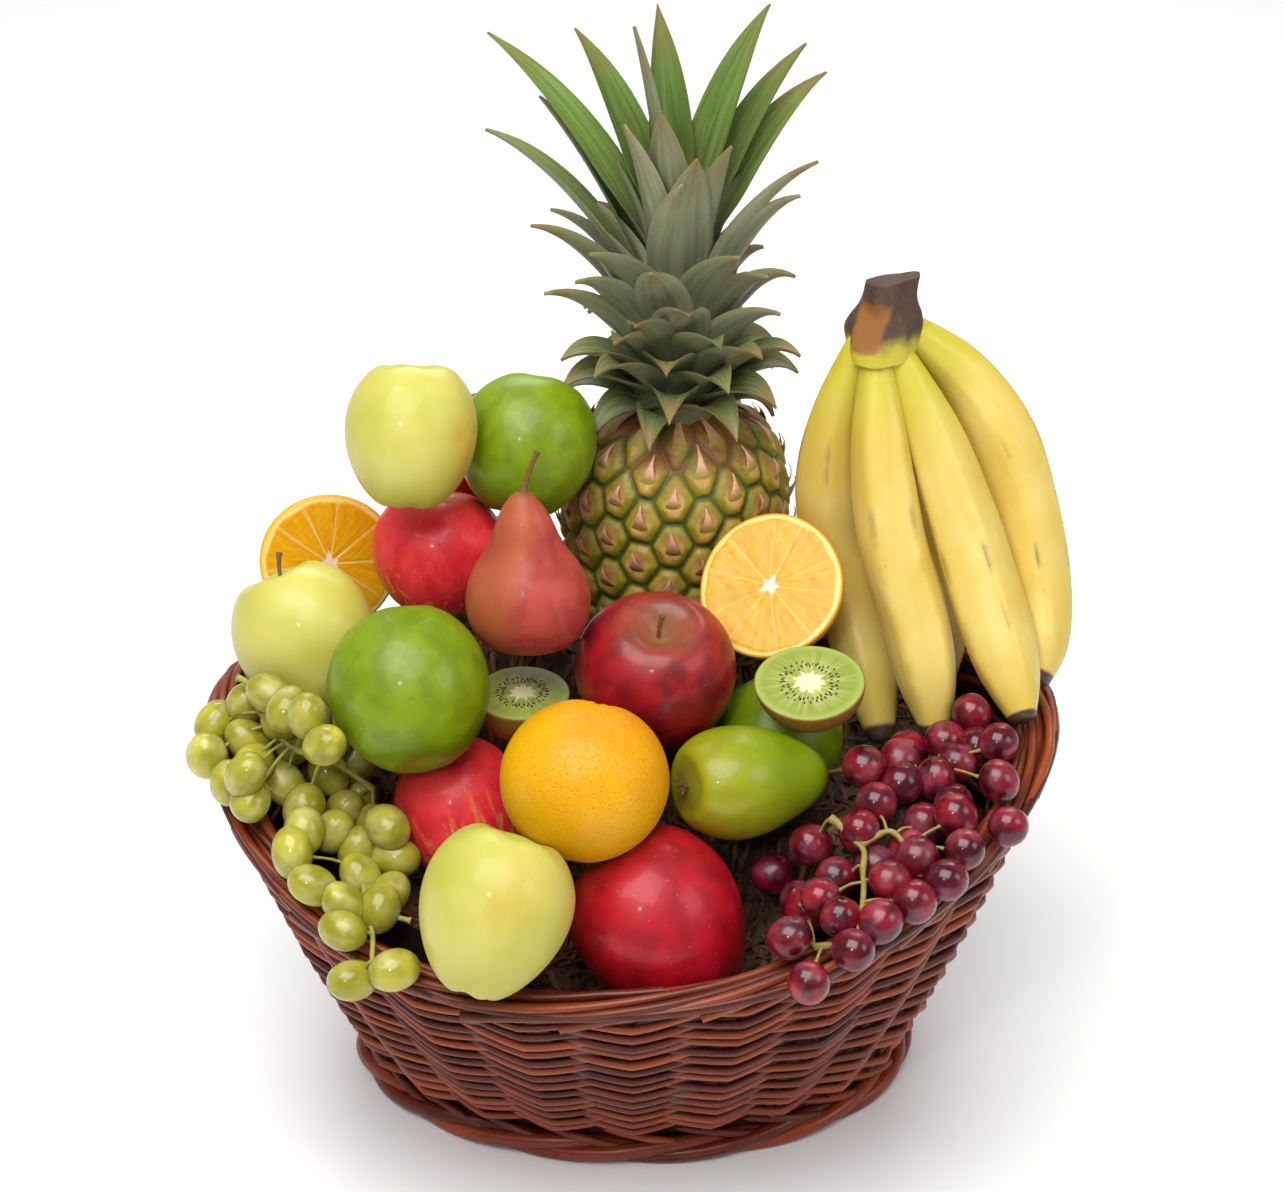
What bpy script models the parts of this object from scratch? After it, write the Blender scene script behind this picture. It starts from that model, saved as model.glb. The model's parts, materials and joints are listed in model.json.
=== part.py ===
"""Fruit gift basket: an oval willow basket heaped with fresh fruit.

Metres, +Z up, the front towards -Y. The basket stands on its foot border. Places are given from the
middle of the foot, and at the end an empty centres the whole model over the origin.
"""

import math
import random

import bmesh
import bpy
from mathutils import Matrix, Quaternion, Vector
from mathutils.bvhtree import BVHTree

MM = 0.001
GAP = 0.3 * MM                      # air between pieces that touch
TURN = 2.0 * math.pi
GOLDEN_ANGLE = math.radians(137.508)

# Basket
FOOT_LONG, FOOT_SHORT = 0.135, 0.093        # half axes of the foot border's middle line
FOOT_ROD = 0.0068                           # half thickness of the foot border
WALL_LOW_LONG, WALL_LOW_SHORT = 0.136, 0.094
WALL_TOP_LONG, WALL_TOP_SHORT = 0.199, 0.166
WALL_BELLY = 0.003                          # how far the wall bows out half way up
WALL_THICK = 0.006
FLOOR_THICK = 0.007
RIM_LONG, RIM_SHORT = 0.195, 0.162          # half axes of the rim border's middle line
RIM_HALF_WIDE, RIM_HALF_TALL = 0.0098, 0.0062
RIM_LOW, RIM_HIGH = 0.144, 0.196            # underside of the rim at the front and at the ends
RIM_RISE = 2.9                              # power of the rise towards the ends
RIM_SKEW = 0.0185                           # the front left sags and the front right lifts
RING_STEPS = 56

# Where the grapes are seen: a plane that faces the viewer, who looks down at the heap
VIEW_DIP = math.radians(31.0)
VIEW_MIDDLE = (642.0, 596.0)                # the middle of the view, in its own pixels
VIEW_ACROSS, VIEW_UP = 0.0044, 0.2271       # the place in the plane that is seen there
VIEW_SCALE = 0.4624 * MM                    # size of a pixel in the plane


def rim_under(angle):
    """Height of the rim's underside at an angle round the basket."""
    rise = (RIM_HIGH - RIM_LOW) * abs(math.cos(angle)) ** RIM_RISE
    return RIM_LOW + rise - RIM_SKEW * min(math.sin(angle), 0.0) * math.cos(angle)


def ellipse(long, short, angle, height):
    return Vector((long * math.cos(angle), short * math.sin(angle), height))


def paint(obj, colour, roughness, metallic=0.0):
    """Give a piece its own Principled material."""
    mat = bpy.data.materials.new(obj.name)
    mat.use_nodes = True
    bsdf = mat.node_tree.nodes["Principled BSDF"]
    bsdf.inputs["Base Color"].default_value = (*colour, 1.0)
    bsdf.inputs["Roughness"].default_value = roughness
    bsdf.inputs["Metallic"].default_value = metallic
    mat.diffuse_color = (*colour, 1.0)
    obj.data.materials.clear()
    obj.data.materials.append(mat)
    return obj


def add_object(name, bm, smooth_angle=50.0):
    """Turn a bmesh into a named object, smooth shaded up to an angle."""
    bmesh.ops.remove_doubles(bm, verts=bm.verts, dist=1e-6)
    bmesh.ops.triangulate(bm, faces=bm.faces)
    bmesh.ops.recalc_face_normals(bm, faces=bm.faces)
    mesh = bpy.data.meshes.new(name)
    bm.to_mesh(mesh)
    bm.free()
    mesh.shade_smooth()
    mesh.set_sharp_from_angle(angle=math.radians(smooth_angle))
    obj = bpy.data.objects.new(name, mesh)
    bpy.context.collection.objects.link(obj)
    return obj


def skin_rings(bm, rings, closed):
    """Join rings of points into a tube; closed makes the last ring meet the first."""
    loops = [[bm.verts.new(point) for point in ring] for ring in rings]
    sides = len(loops[0])
    pairs = list(zip(loops, loops[1:]))
    if closed:
        pairs.append((loops[-1], loops[0]))
    else:
        bm.faces.new(loops[0])
        bm.faces.new(reversed(loops[-1]))
    for a, b in pairs:
        for k in range(sides):
            n = (k + 1) % sides
            bm.faces.new((a[k], b[k], b[n], a[n]))


def turned(name, profile, segments, shape=None, smooth_angle=50.0):
    """Spin a profile of (radius, height) points about Z; shape(point) moves each point afterwards."""
    bm = bmesh.new()
    points = [bm.verts.new((radius, 0.0, height)) for radius, height in profile]
    edges = [bm.edges.new(pair) for pair in zip(points, points[1:])]
    bmesh.ops.spin(bm, geom=points + edges, cent=(0, 0, 0), axis=(0, 0, 1), dvec=(0, 0, 0),
                   angle=TURN, steps=segments, use_merge=True)
    bmesh.ops.remove_doubles(bm, verts=bm.verts, dist=1e-6)
    if shape:
        for vert in bm.verts:
            vert.co = shape(vert.co.copy())
    return add_object(name, bm, smooth_angle)


def aim(obj, place, axis, spin=0.0):
    """Put a piece at its place with its own +Z along axis, turned by spin about that axis."""
    obj.rotation_mode = "QUATERNION"
    obj.rotation_quaternion = (Vector(axis).to_track_quat("Z", "Y")
                               @ Quaternion((0, 0, 1), math.radians(spin)))
    obj.location = place
    return obj


def apply_modifiers(obj):
    """Replace the mesh by what its modifiers make of it."""
    graph = bpy.context.evaluated_depsgraph_get()
    mesh = bpy.data.meshes.new_from_object(obj.evaluated_get(graph))
    obj.modifiers.clear()
    obj.data = mesh


def keep_main_body(obj):
    """Keep the largest closed shell, so that sealed hollows are filled and scraps are dropped."""
    bm = bmesh.new()
    bm.from_mesh(obj.data)
    bmesh.ops.remove_doubles(bm, verts=bm.verts, dist=2e-6)
    bmesh.ops.dissolve_degenerate(bm, edges=bm.edges, dist=2e-6)
    bmesh.ops.triangulate(bm, faces=bm.faces)
    shells, seen = [], set()
    for start in bm.verts:
        if start in seen:
            continue
        shell, stack = set(), [start]
        seen.add(start)
        while stack:
            vert = stack.pop()
            shell.add(vert)
            for edge in vert.link_edges:
                other = edge.other_vert(vert)
                if other not in seen:
                    seen.add(other)
                    stack.append(other)
        shells.append(shell)
    main = max(shells, key=lambda shell: max(v.co.z for v in shell) - min(v.co.z for v in shell))
    bmesh.ops.delete(bm, geom=[v for v in bm.verts if v not in main], context="VERTS")
    bmesh.ops.recalc_face_normals(bm, faces=bm.faces)
    bm.to_mesh(obj.data)
    bm.free()
    obj.data.shade_smooth()
    obj.data.set_sharp_from_angle(angle=math.radians(50.0))


def fuse(core, pieces):
    """Union the pieces onto the core as one solid and remove them."""
    group = bpy.data.collections.new(core.name + "_pieces")
    for piece in pieces:
        group.objects.link(piece)
        bpy.context.collection.objects.unlink(piece)
    bpy.context.scene.collection.children.link(group)
    union = core.modifiers.new("union", "BOOLEAN")
    union.operation = "UNION"
    union.operand_type = "COLLECTION"
    union.collection = group
    union.solver = "EXACT"
    union.use_self = True
    bpy.context.view_layer.update()
    apply_modifiers(core)
    for piece in pieces:
        bpy.data.objects.remove(piece)
    bpy.data.collections.remove(group)
    keep_main_body(core)
    return core


# Basket

def wall_ring(share, inset):
    """Points round the wall at a share of its height, moved in by inset."""
    points = []
    for step in range(RING_STEPS):
        angle = TURN * step / RING_STEPS
        top = rim_under(angle) - GAP
        low = 2.0 * FOOT_ROD - 0.0008 + GAP
        bow = WALL_BELLY * math.sin(math.pi * share)
        long = WALL_LOW_LONG + (WALL_TOP_LONG - WALL_LOW_LONG) * share + bow - inset
        short = WALL_LOW_SHORT + (WALL_TOP_SHORT - WALL_LOW_SHORT) * share + bow - inset
        points.append(ellipse(long, short, angle, low + (top - low) * share))
    return points


def make_basket_wall():
    """The woven wall and floor as one open-topped shell."""
    bm = bmesh.new()
    shares = (0.0, 0.28, 0.62, 1.0)
    outer = [wall_ring(share, 0.0) for share in shares]
    inner = [wall_ring(share, WALL_THICK) for share in reversed(shares[1:])]
    floor = [point + Vector((0, 0, FLOOR_THICK)) for point in wall_ring(0.0, WALL_THICK)]
    skin_rings(bm, outer + inner + [floor], closed=False)
    return paint(add_object("basket_wall", bm), (0.20, 0.055, 0.025), 0.45)


def make_rim_border():
    """The rim: a flat bundle of rods laid side by side round the mouth."""
    lobes = ((-1.0, 0.1), (-0.6, 1.0), (-0.1, 0.6), (0.5, 1.0), (1.0, 0.1), (0.6, -1.0), (-0.6, -1.0))
    rings = []
    for step in range(RING_STEPS):
        angle = TURN * step / RING_STEPS
        middle = rim_under(angle) + RIM_HALF_TALL
        rings.append([ellipse(RIM_LONG + across * RIM_HALF_WIDE, RIM_SHORT + across * RIM_HALF_WIDE,
                              angle, middle + up * RIM_HALF_TALL) for across, up in lobes])
    bm = bmesh.new()
    skin_rings(bm, rings, closed=True)
    return paint(add_object("rim_border", bm, 30.0), (0.30, 0.085, 0.035), 0.4)


def make_foot_border():
    """The foot: a rope of three strands with a flat underside."""
    strands, waves, sides, steps = 3, 18, 6, 54
    flat = 0.42                              # half width of the underside, in rod radii
    rings = []
    for step in range(steps):
        angle = TURN * step / steps
        ring = [ellipse(FOOT_LONG + side * flat * FOOT_ROD, FOOT_SHORT + side * flat * FOOT_ROD,
                        angle, 0.0) for side in (-1, 1)]
        for k in range(sides - 1):
            around = math.radians(-35.0 + 250.0 * k / (sides - 2))
            swell = 1.0 + 0.10 * math.cos(strands * around - waves * angle)
            out, up = FOOT_ROD * swell * math.cos(around), FOOT_ROD * min(swell, 1.0) * math.sin(around)
            ring.append(ellipse(FOOT_LONG + out, FOOT_SHORT + out, angle, FOOT_ROD + up * 0.88))
        rings.append(ring)
    bm = bmesh.new()
    skin_rings(bm, rings, closed=True)
    return paint(add_object("foot_border", bm, 30.0), (0.24, 0.065, 0.03), 0.45)


# Round fruit

def apple_profile(wide, tall, taper, stem):
    """Outline of an apple from the tip of its stem to the calyx, as (radius, height) points."""
    rings = 8
    outline = []
    for k in range(rings + 1):
        t = math.pi * k / rings
        if k == 0:
            continue
        narrow = 1.0 - taper * (0.5 - 0.5 * math.cos(t)) ** 1.5
        radius = wide * math.sin(t) * (1.0 + 0.10 * math.cos(t)) * narrow * 1.02
        height = (tall * math.cos(t) - 0.30 * tall * math.exp(-(t / 0.50) ** 2)
                  + 0.16 * tall * math.exp(-((math.pi - t) / 0.42) ** 2))
        outline.append((max(radius, 0.0), height))
    root = 0.62 * tall
    if stem:
        start = [(0.0, root + stem), (0.0015, root + stem), (0.0012, root)]
    else:
        start = [(0.0, root)]
    outline[-1] = (0.0, outline[-1][1])
    return start + outline


def make_apple(name, place, wide, tall, axis, colour, taper=0.12, lobes=0.03, stem=0.0,
               stem_lean=0.0, spin=0.0):
    """An apple: dimpled at the stem, five lobed below, with its stem where one shows."""
    root = 0.62 * tall

    def shape(p):
        angle = math.atan2(p.y, p.x)
        low = max(0.0, min(1.0, (0.3 * tall - p.z) / tall))
        swell = 1.0 + lobes * low * math.cos(5.0 * angle) + 0.012 * math.sin(2.0 * angle + spin)
        if stem and p.z > root + 0.001 and math.hypot(p.x, p.y) < 0.003:
            return p + Vector((stem_lean * stem * ((p.z - root) / stem) ** 2, 0.0, 0.0))
        return Vector((p.x * swell, p.y * swell, p.z - lobes * 0.8 * low * tall * math.cos(5 * angle)
                       * min(1.0, math.hypot(p.x, p.y) / (0.4 * wide))))

    obj = turned(name, apple_profile(wide, tall, taper, stem), 13, shape)
    paint(obj, colour, 0.3)
    return aim(obj, place, axis, spin)


def make_orange(name, place, radius, axis):
    """A whole orange: a little flat at the poles, with a shallow dimple at the stem end."""
    rings, segments = 8, 15
    profile = []
    for k in range(rings + 1):
        t = math.pi * k / rings
        profile.append((radius * math.sin(t) if 0 < k < rings else 0.0,
                        radius * (0.97 * math.cos(t) - 0.05 * math.exp(-(t / 0.3) ** 2))))
    return aim(paint(turned(name, profile, segments), (0.85, 0.42, 0.03), 0.4), place, axis)


def make_half(name, place, face_wide, face_tall, depth, normal, colour, segments, spin=0.0):
    """A fruit cut in half: a flat face at the place, facing normal, and the rounded back behind it."""
    rings = 5
    profile = [(0.0, 0.0)]
    for k in range(rings + 1):
        t = 0.5 * math.pi * k / rings
        profile.append((face_wide * math.cos(t) if k < rings else 0.0, -depth * math.sin(t)))

    def shape(p):
        return Vector((p.x, p.y * face_tall / face_wide, p.z))

    return aim(paint(turned(name, profile, segments, shape), colour, 0.35), place, normal, spin)


def make_pear(name, place, wide, tall, axis, colour, stem, stem_lean, spin=0.0):
    """A pear with its belly's middle at the place and its neck along axis."""
    rings, segments, belly = 11, 14, 0.30
    profile = [(0.0, 0.05 * tall)]
    for k in range(1, rings):
        s = k / rings
        neck = 1.0 - 0.28 * math.exp(-((s - 0.68) / 0.16) ** 2)
        radius = wide * math.sin(math.pi * s ** 0.6) ** 0.75 * neck
        lift = 0.05 * math.exp(-(s / 0.07) ** 2)
        profile.append((radius, tall * (s + lift)))
    profile += [(0.0017, 0.985 * tall), (0.0015, tall + stem), (0.0, tall + stem)]
    profile = [(radius, height - belly * tall) for radius, height in profile]
    tip = (1.0 - belly) * tall

    def shape(p):
        bend = 0.03 * wide * (p.z / tall) ** 2
        if p.z > tip + 0.001:
            bend += stem_lean * (p.z - tip)
        return Vector((p.x + bend, p.y, p.z))

    return aim(paint(turned(name, profile, segments, shape), colour, 0.4), place, axis, spin)


# Pineapple

PINE_FOOT = Vector((0.021, 0.100, 0.185))
PINE_TALL, PINE_WIDE = 0.134, 0.0555
CROWN_LEAVES = 28
CROWN_STALK = 0.092


def make_leaf(index):
    """One crown leaf: a thin channelled blade that leans out, the low ones short and spreading."""
    draw = random.Random(100 + index)
    share = index / (CROWN_LEAVES - 1)
    azimuth = GOLDEN_ANGLE * index + 0.75
    length = 0.036 + 0.084 * share ** 0.8 + draw.uniform(-0.006, 0.006)
    lean = math.radians(80.0 * (1.0 - share) ** 0.85 + 9.0) + draw.uniform(-0.07, 0.07)
    curl = 0.55 * (1.0 - share) + 0.18 + draw.uniform(-0.1, 0.1)
    half_wide = 0.0128 - 0.002 * share
    out = Vector((math.cos(azimuth), math.sin(azimuth), 0.0))
    side = Vector((-out.y, out.x, 0.0))
    start = 0.021 * (1.0 - 0.72 * share)
    here = out * start + Vector((0, 0, 0.004 + CROWN_STALK * share ** 0.95))
    rings = []
    steps = 3
    for k in range(steps):
        s = k / steps
        tilt = lean + curl * s * s
        along = out * math.sin(tilt) + Vector((0, 0, math.cos(tilt)))
        upper = Vector((0, 0, 1)) * math.sin(tilt) - out * math.cos(tilt)
        half = half_wide * (1.0 - s) ** 0.7 * (1.0 + 0.5 * s)
        thick = 0.0013 * (1.0 - 0.45 * s)
        wave = 0.10 * half * math.sin(7.0 * s + index)
        rings.append([here - side * half + upper * (0.32 * half + wave), here - upper * thick,
                      here + side * half + upper * (0.32 * half - wave), here + upper * thick])
        here = here + along * (length / steps)
    bm = bmesh.new()
    loops = [[bm.verts.new(point) for point in ring] for ring in rings]
    tip = bm.verts.new(here)
    bm.faces.new(loops[0])
    for a, b in zip(loops, loops[1:]):
        for k in range(4):
            bm.faces.new((a[k], b[k], b[(k + 1) % 4], a[(k + 1) % 4]))
    for k in range(4):
        bm.faces.new((loops[-1][k], tip, loops[-1][(k + 1) % 4]))
    leaf = add_object(f"leaf_{index}", bm)
    leaf.location = PINE_FOOT + Vector((0, 0, PINE_TALL - 0.006))
    return leaf


def make_pineapple():
    """The pineapple: a barrel studded with eyes in offset rows, and its crown, as one solid."""
    rows, columns, stud = 13, 20, 0.0026
    bm = bmesh.new()
    bottom = bm.verts.new(PINE_FOOT)
    rings = []
    for row in range(1, rows):
        s = row / rows
        base = PINE_WIDE * (1.0 - abs(2.0 * s - 0.98) ** 3.2) ** 0.5
        ring = []
        for column in range(columns):
            angle = TURN * (column + 0.25 * row) / columns
            lift = stud if (row + column) % 2 == 0 else -stud
            ring.append(bm.verts.new(PINE_FOOT + Vector(((base + lift) * math.cos(angle),
                                                         (base + lift) * math.sin(angle),
                                                         PINE_TALL * s))))
        rings.append(ring)
    top = bm.verts.new(PINE_FOOT + Vector((0, 0, PINE_TALL)))
    for k in range(columns):
        n = (k + 1) % columns
        bm.faces.new((bottom, rings[0][n], rings[0][k]))
        bm.faces.new((top, rings[-1][k], rings[-1][n]))
        for a, b in zip(rings, rings[1:]):
            bm.faces.new((a[k], a[n], b[n], b[k]))
    body = add_object("pineapple", bm, 20.0)
    stalk_bm = bmesh.new()
    bmesh.ops.create_cone(stalk_bm, cap_ends=True, segments=9, radius1=0.024, radius2=0.007,
                          depth=CROWN_STALK + 0.02)
    stalk = add_object("stalk", stalk_bm)
    stalk.location = PINE_FOOT + Vector((0, 0, PINE_TALL - 0.014 + (CROWN_STALK + 0.02) / 2.0))
    pieces = [stalk] + [make_leaf(index) for index in range(CROWN_LEAVES)]
    return paint(fuse(body, pieces), (0.42, 0.33, 0.08), 0.6)


# Bananas

def smooth_path(points, steps):
    """Points along a smooth curve through the given points, each (x, y, z, radius) in millimetres."""
    path = []
    for k in range(steps):
        u = k / (steps - 1) * (len(points) - 1)
        i = min(int(u), len(points) - 2)
        f = u - i
        p = [Vector(points[min(max(j, 0), len(points) - 1)]) for j in (i - 1, i, i + 1, i + 2)]
        path.append(0.5 * (2 * p[1] + (p[2] - p[0]) * f + (2 * p[0] - 5 * p[1] + 4 * p[2] - p[3]) * f * f
                           + (3 * p[1] - p[0] - 3 * p[2] + p[3]) * f ** 3))
    return path


def make_finger(name, points, steps=9, sides=7):
    """One banana along its middle line, with the blunt ridges of a banana's skin."""
    path = smooth_path([Vector(p) for p in points], steps)
    rings = []
    for k, here in enumerate(path):
        ahead = path[min(k + 1, steps - 1)].xyz - path[max(k - 1, 0)].xyz
        across = ahead.cross(Vector((0.35, -1.0, 0.0))).normalized()
        front = across.cross(ahead).normalized()
        ring = []
        for j in range(sides):
            a = TURN * j / sides
            ring.append((here.xyz + (across * math.cos(a) + front * math.sin(a)) * here.w * 1.03) * MM)
        rings.append(ring)
    bm = bmesh.new()
    skin_rings(bm, rings, closed=False)
    return add_object(name, bm)


# Middle lines (x, y, z) and half thickness, in millimetres, from the shared stalk to the blossom end
BANANAS = (
    ((108, 62, 370, 6), (97, 60, 333, 11), (95, 60, 296, 16), (100, 59, 259, 17), (108, 46, 231, 16),
     (115, 25, 205, 14), (121, 2, 181, 6)),
    ((114, 58, 370, 6), (116, 46, 336, 12), (119, 34, 306, 15), (124, 22, 278, 16), (133, 8, 251, 16),
     (140, -8, 224, 14), (144, -21, 200, 6)),
    ((121, 60, 370, 6), (140, 49, 330, 13), (155, 34, 292, 16), (165, 17, 264, 17), (175, -5, 238, 16),
     (180, -18, 225, 12), (184, -30, 214, 6)),
    ((127, 67, 374, 7), (156, 72, 347, 13), (176, 64, 319, 16), (188, 51, 285, 16), (194, 32, 252, 16),
     (195, 12, 231, 13), (192, -5, 219, 6)),
    ((118, 70, 376, 7), (124, 80, 345, 12), (133, 84, 308, 15), (142, 84, 270, 16), (148, 79, 234, 16),
     (153, 70, 200, 14), (153, 60, 174, 6)),
)
BANANA_STALK = ((116, 57, 362, 15), (117, 62, 374, 17), (119, 66, 386, 13), (121, 70, 396, 13))


def make_banana_hand():
    """Five bananas joined at their stalk as one solid."""
    stalk = make_finger("banana_hand", BANANA_STALK, steps=5, sides=8)
    fingers = [make_finger(f"finger_{k}", points) for k, points in enumerate(BANANAS)]
    return paint(fuse(stalk, fingers), (0.85, 0.62, 0.06), 0.45)


# Packing and grapes, which are fitted to what they lie on

def world_points(obj):
    return [obj.matrix_world @ v.co for v in obj.data.vertices]


def make_packing(neighbours):
    """The bed of packing: it mounds up under the fruit and stays below the lowest fruit all over."""
    rings, steps = 10, 38
    mound, below_rim, air = 0.085, 0.012, 0.0025
    inset = WALL_THICK + 0.0024
    low = 2.0 * FOOT_ROD - 0.0008 + GAP + FLOOR_THICK + 0.001
    under = [p for obj in neighbours for p in world_points(obj)]
    for obj in neighbours:
        under += [obj.matrix_world @ poly.center for poly in obj.data.polygons]

    def height(x, y, angle, share):
        """Height of the bed at a place, share of the way out to the wall."""
        cell = math.hypot(WALL_TOP_LONG / rings, TURN * share * WALL_TOP_LONG / steps)
        limit = rim_under(angle) - below_rim + mound * (1.0 - share ** 2)
        near = [p.z - air for p in under if (p.x - x) ** 2 + (p.y - y) ** 2 < cell * cell]
        return max(low + 0.02, min([limit] + near))

    columns = []
    for step in range(steps):
        angle = TURN * step / steps
        edge = ellipse(0.9 * WALL_TOP_LONG, 0.9 * WALL_TOP_SHORT, angle, 0.0)
        top = height(edge.x, edge.y, angle, 1.0)
        share = (top - low) / (rim_under(angle) - low)
        long = WALL_LOW_LONG + (WALL_TOP_LONG - WALL_LOW_LONG) * share - inset
        short = WALL_LOW_SHORT + (WALL_TOP_SHORT - WALL_LOW_SHORT) * share - inset
        column = [ellipse(WALL_LOW_LONG - inset, WALL_LOW_SHORT - inset, angle, low),
                  ellipse(long, short, angle, top)]
        for ring in range(rings - 1, 0, -1):
            r = ring / rings
            place = ellipse(long * r, short * r, angle, 0.0)
            column.append(place + Vector((0, 0, height(place.x, place.y, angle, r))))
        columns.append(column)
    bm = bmesh.new()
    loops = [[bm.verts.new(column[level]) for column in columns] for level in range(rings + 1)]
    bottom = bm.verts.new((0, 0, low))
    middle = bm.verts.new((0, 0, height(0.0, 0.0, 0.0, 0.0)))
    for k in range(steps):
        n = (k + 1) % steps
        bm.faces.new((bottom, loops[0][n], loops[0][k]))
        bm.faces.new((middle, loops[-1][k], loops[-1][n]))
        for a, b in zip(loops, loops[1:]):
            bm.faces.new((a[k], a[n], b[n], b[k]))
    return paint(add_object("packing_bed", bm), (0.30, 0.17, 0.08), 0.9)


class Bunch:
    """A bunch of grapes laid on the heap, each grape where it is seen in the plane that faces the viewer."""

    def __init__(self, name, seen, radius, colour, seed):
        self.name, self.seen, self.radius, self.colour, self.seed = name, seen, radius, colour, seed
        self.ahead = Vector((0, math.cos(VIEW_DIP), -math.sin(VIEW_DIP)))
        self.up = Vector((0, math.sin(VIEW_DIP), math.cos(VIEW_DIP)))

    def settle(self, tree):
        """Slide each grape back until it touches; one that another is in the way of stops before it."""
        apart = 1.44 * self.radius
        laid = []
        for u, v in self.seen:
            x, h = VIEW_ACROSS + (u - VIEW_MIDDLE[0]) * VIEW_SCALE, VIEW_UP + (VIEW_MIDDLE[1] - v) * VIEW_SCALE
            depth = -0.30
            while depth < 0.25:
                point = Vector((x, 0, 0)) + self.up * h + self.ahead * depth
                if tree.find_nearest(point)[3] < 1.07 * self.radius + 2.0 * GAP:
                    break
                depth += 0.0005
            depth -= 0.0005
            moved = True
            while moved:
                moved = False
                for a, b, other in laid:
                    room = apart ** 2 - (a - x) ** 2 - (b - h) ** 2
                    if room > 0.0 and abs(depth - other) < math.sqrt(room) - 1e-6:
                        depth = other - math.sqrt(room)
                        moved = True
            laid.append((x, h, depth))
        return [Vector((x, 0, 0)) + self.up * h + self.ahead * depth for x, h, depth in laid]

    def build(self, neighbours):
        centres = self.settle(clearance_tree(neighbours))
        stalks, joined, rest = [], [centres[0]], centres[1:]
        while rest:
            a, b = min(((p, q) for p in joined for q in rest), key=lambda pair: (pair[0] - pair[1]).length)
            stalks.append((a, b))
            joined.append(b)
            rest.remove(b)
        pieces = []
        for k, (a, b) in enumerate(stalks):
            bm = bmesh.new()
            bmesh.ops.create_cone(bm, cap_ends=True, segments=3, radius1=0.0050, radius2=0.0050,
                                  depth=(b - a).length)
            turn = (b - a).to_track_quat("Z", "Y").to_matrix().to_4x4()
            bmesh.ops.transform(bm, matrix=Matrix.Translation((a + b) / 2.0) @ turn, verts=bm.verts)
            pieces.append(add_object(f"stalk_{k}", bm))
        draw = random.Random(self.seed + 1)
        for k, centre in enumerate(centres):
            bm = bmesh.new()
            bmesh.ops.create_icosphere(bm, subdivisions=1, radius=1.07 * self.radius)
            turn = Quaternion((draw.uniform(-1, 1), draw.uniform(-1, 1), draw.uniform(-1, 1), 1.0))
            turn.normalize()
            bmesh.ops.transform(bm, matrix=Matrix.Translation(centre) @ turn.to_matrix().to_4x4(),
                                verts=bm.verts)
            pieces.append(add_object(f"grape_{k}", bm))
        core = pieces.pop(0)
        core.name = self.name
        return paint(fuse(core, pieces), self.colour, 0.25)


def clearance_tree(neighbours):
    """A search tree over the surfaces of the pieces that something is laid on."""
    points, faces = [], []
    for obj in neighbours:
        start = len(points)
        points += world_points(obj)
        faces += [tuple(start + i for i in poly.vertices) for poly in obj.data.polygons]
    return BVHTree.FromPolygons(points, faces)


# The fruit: places in millimetres from the middle of the foot

GREEN, PALE = (0.28, 0.42, 0.02), (0.62, 0.58, 0.20)
RED, DARK_RED = (0.50, 0.03, 0.05), (0.24, 0.01, 0.03)


def at(x, y, z):
    return Vector((x, y, z)) * MM


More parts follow.
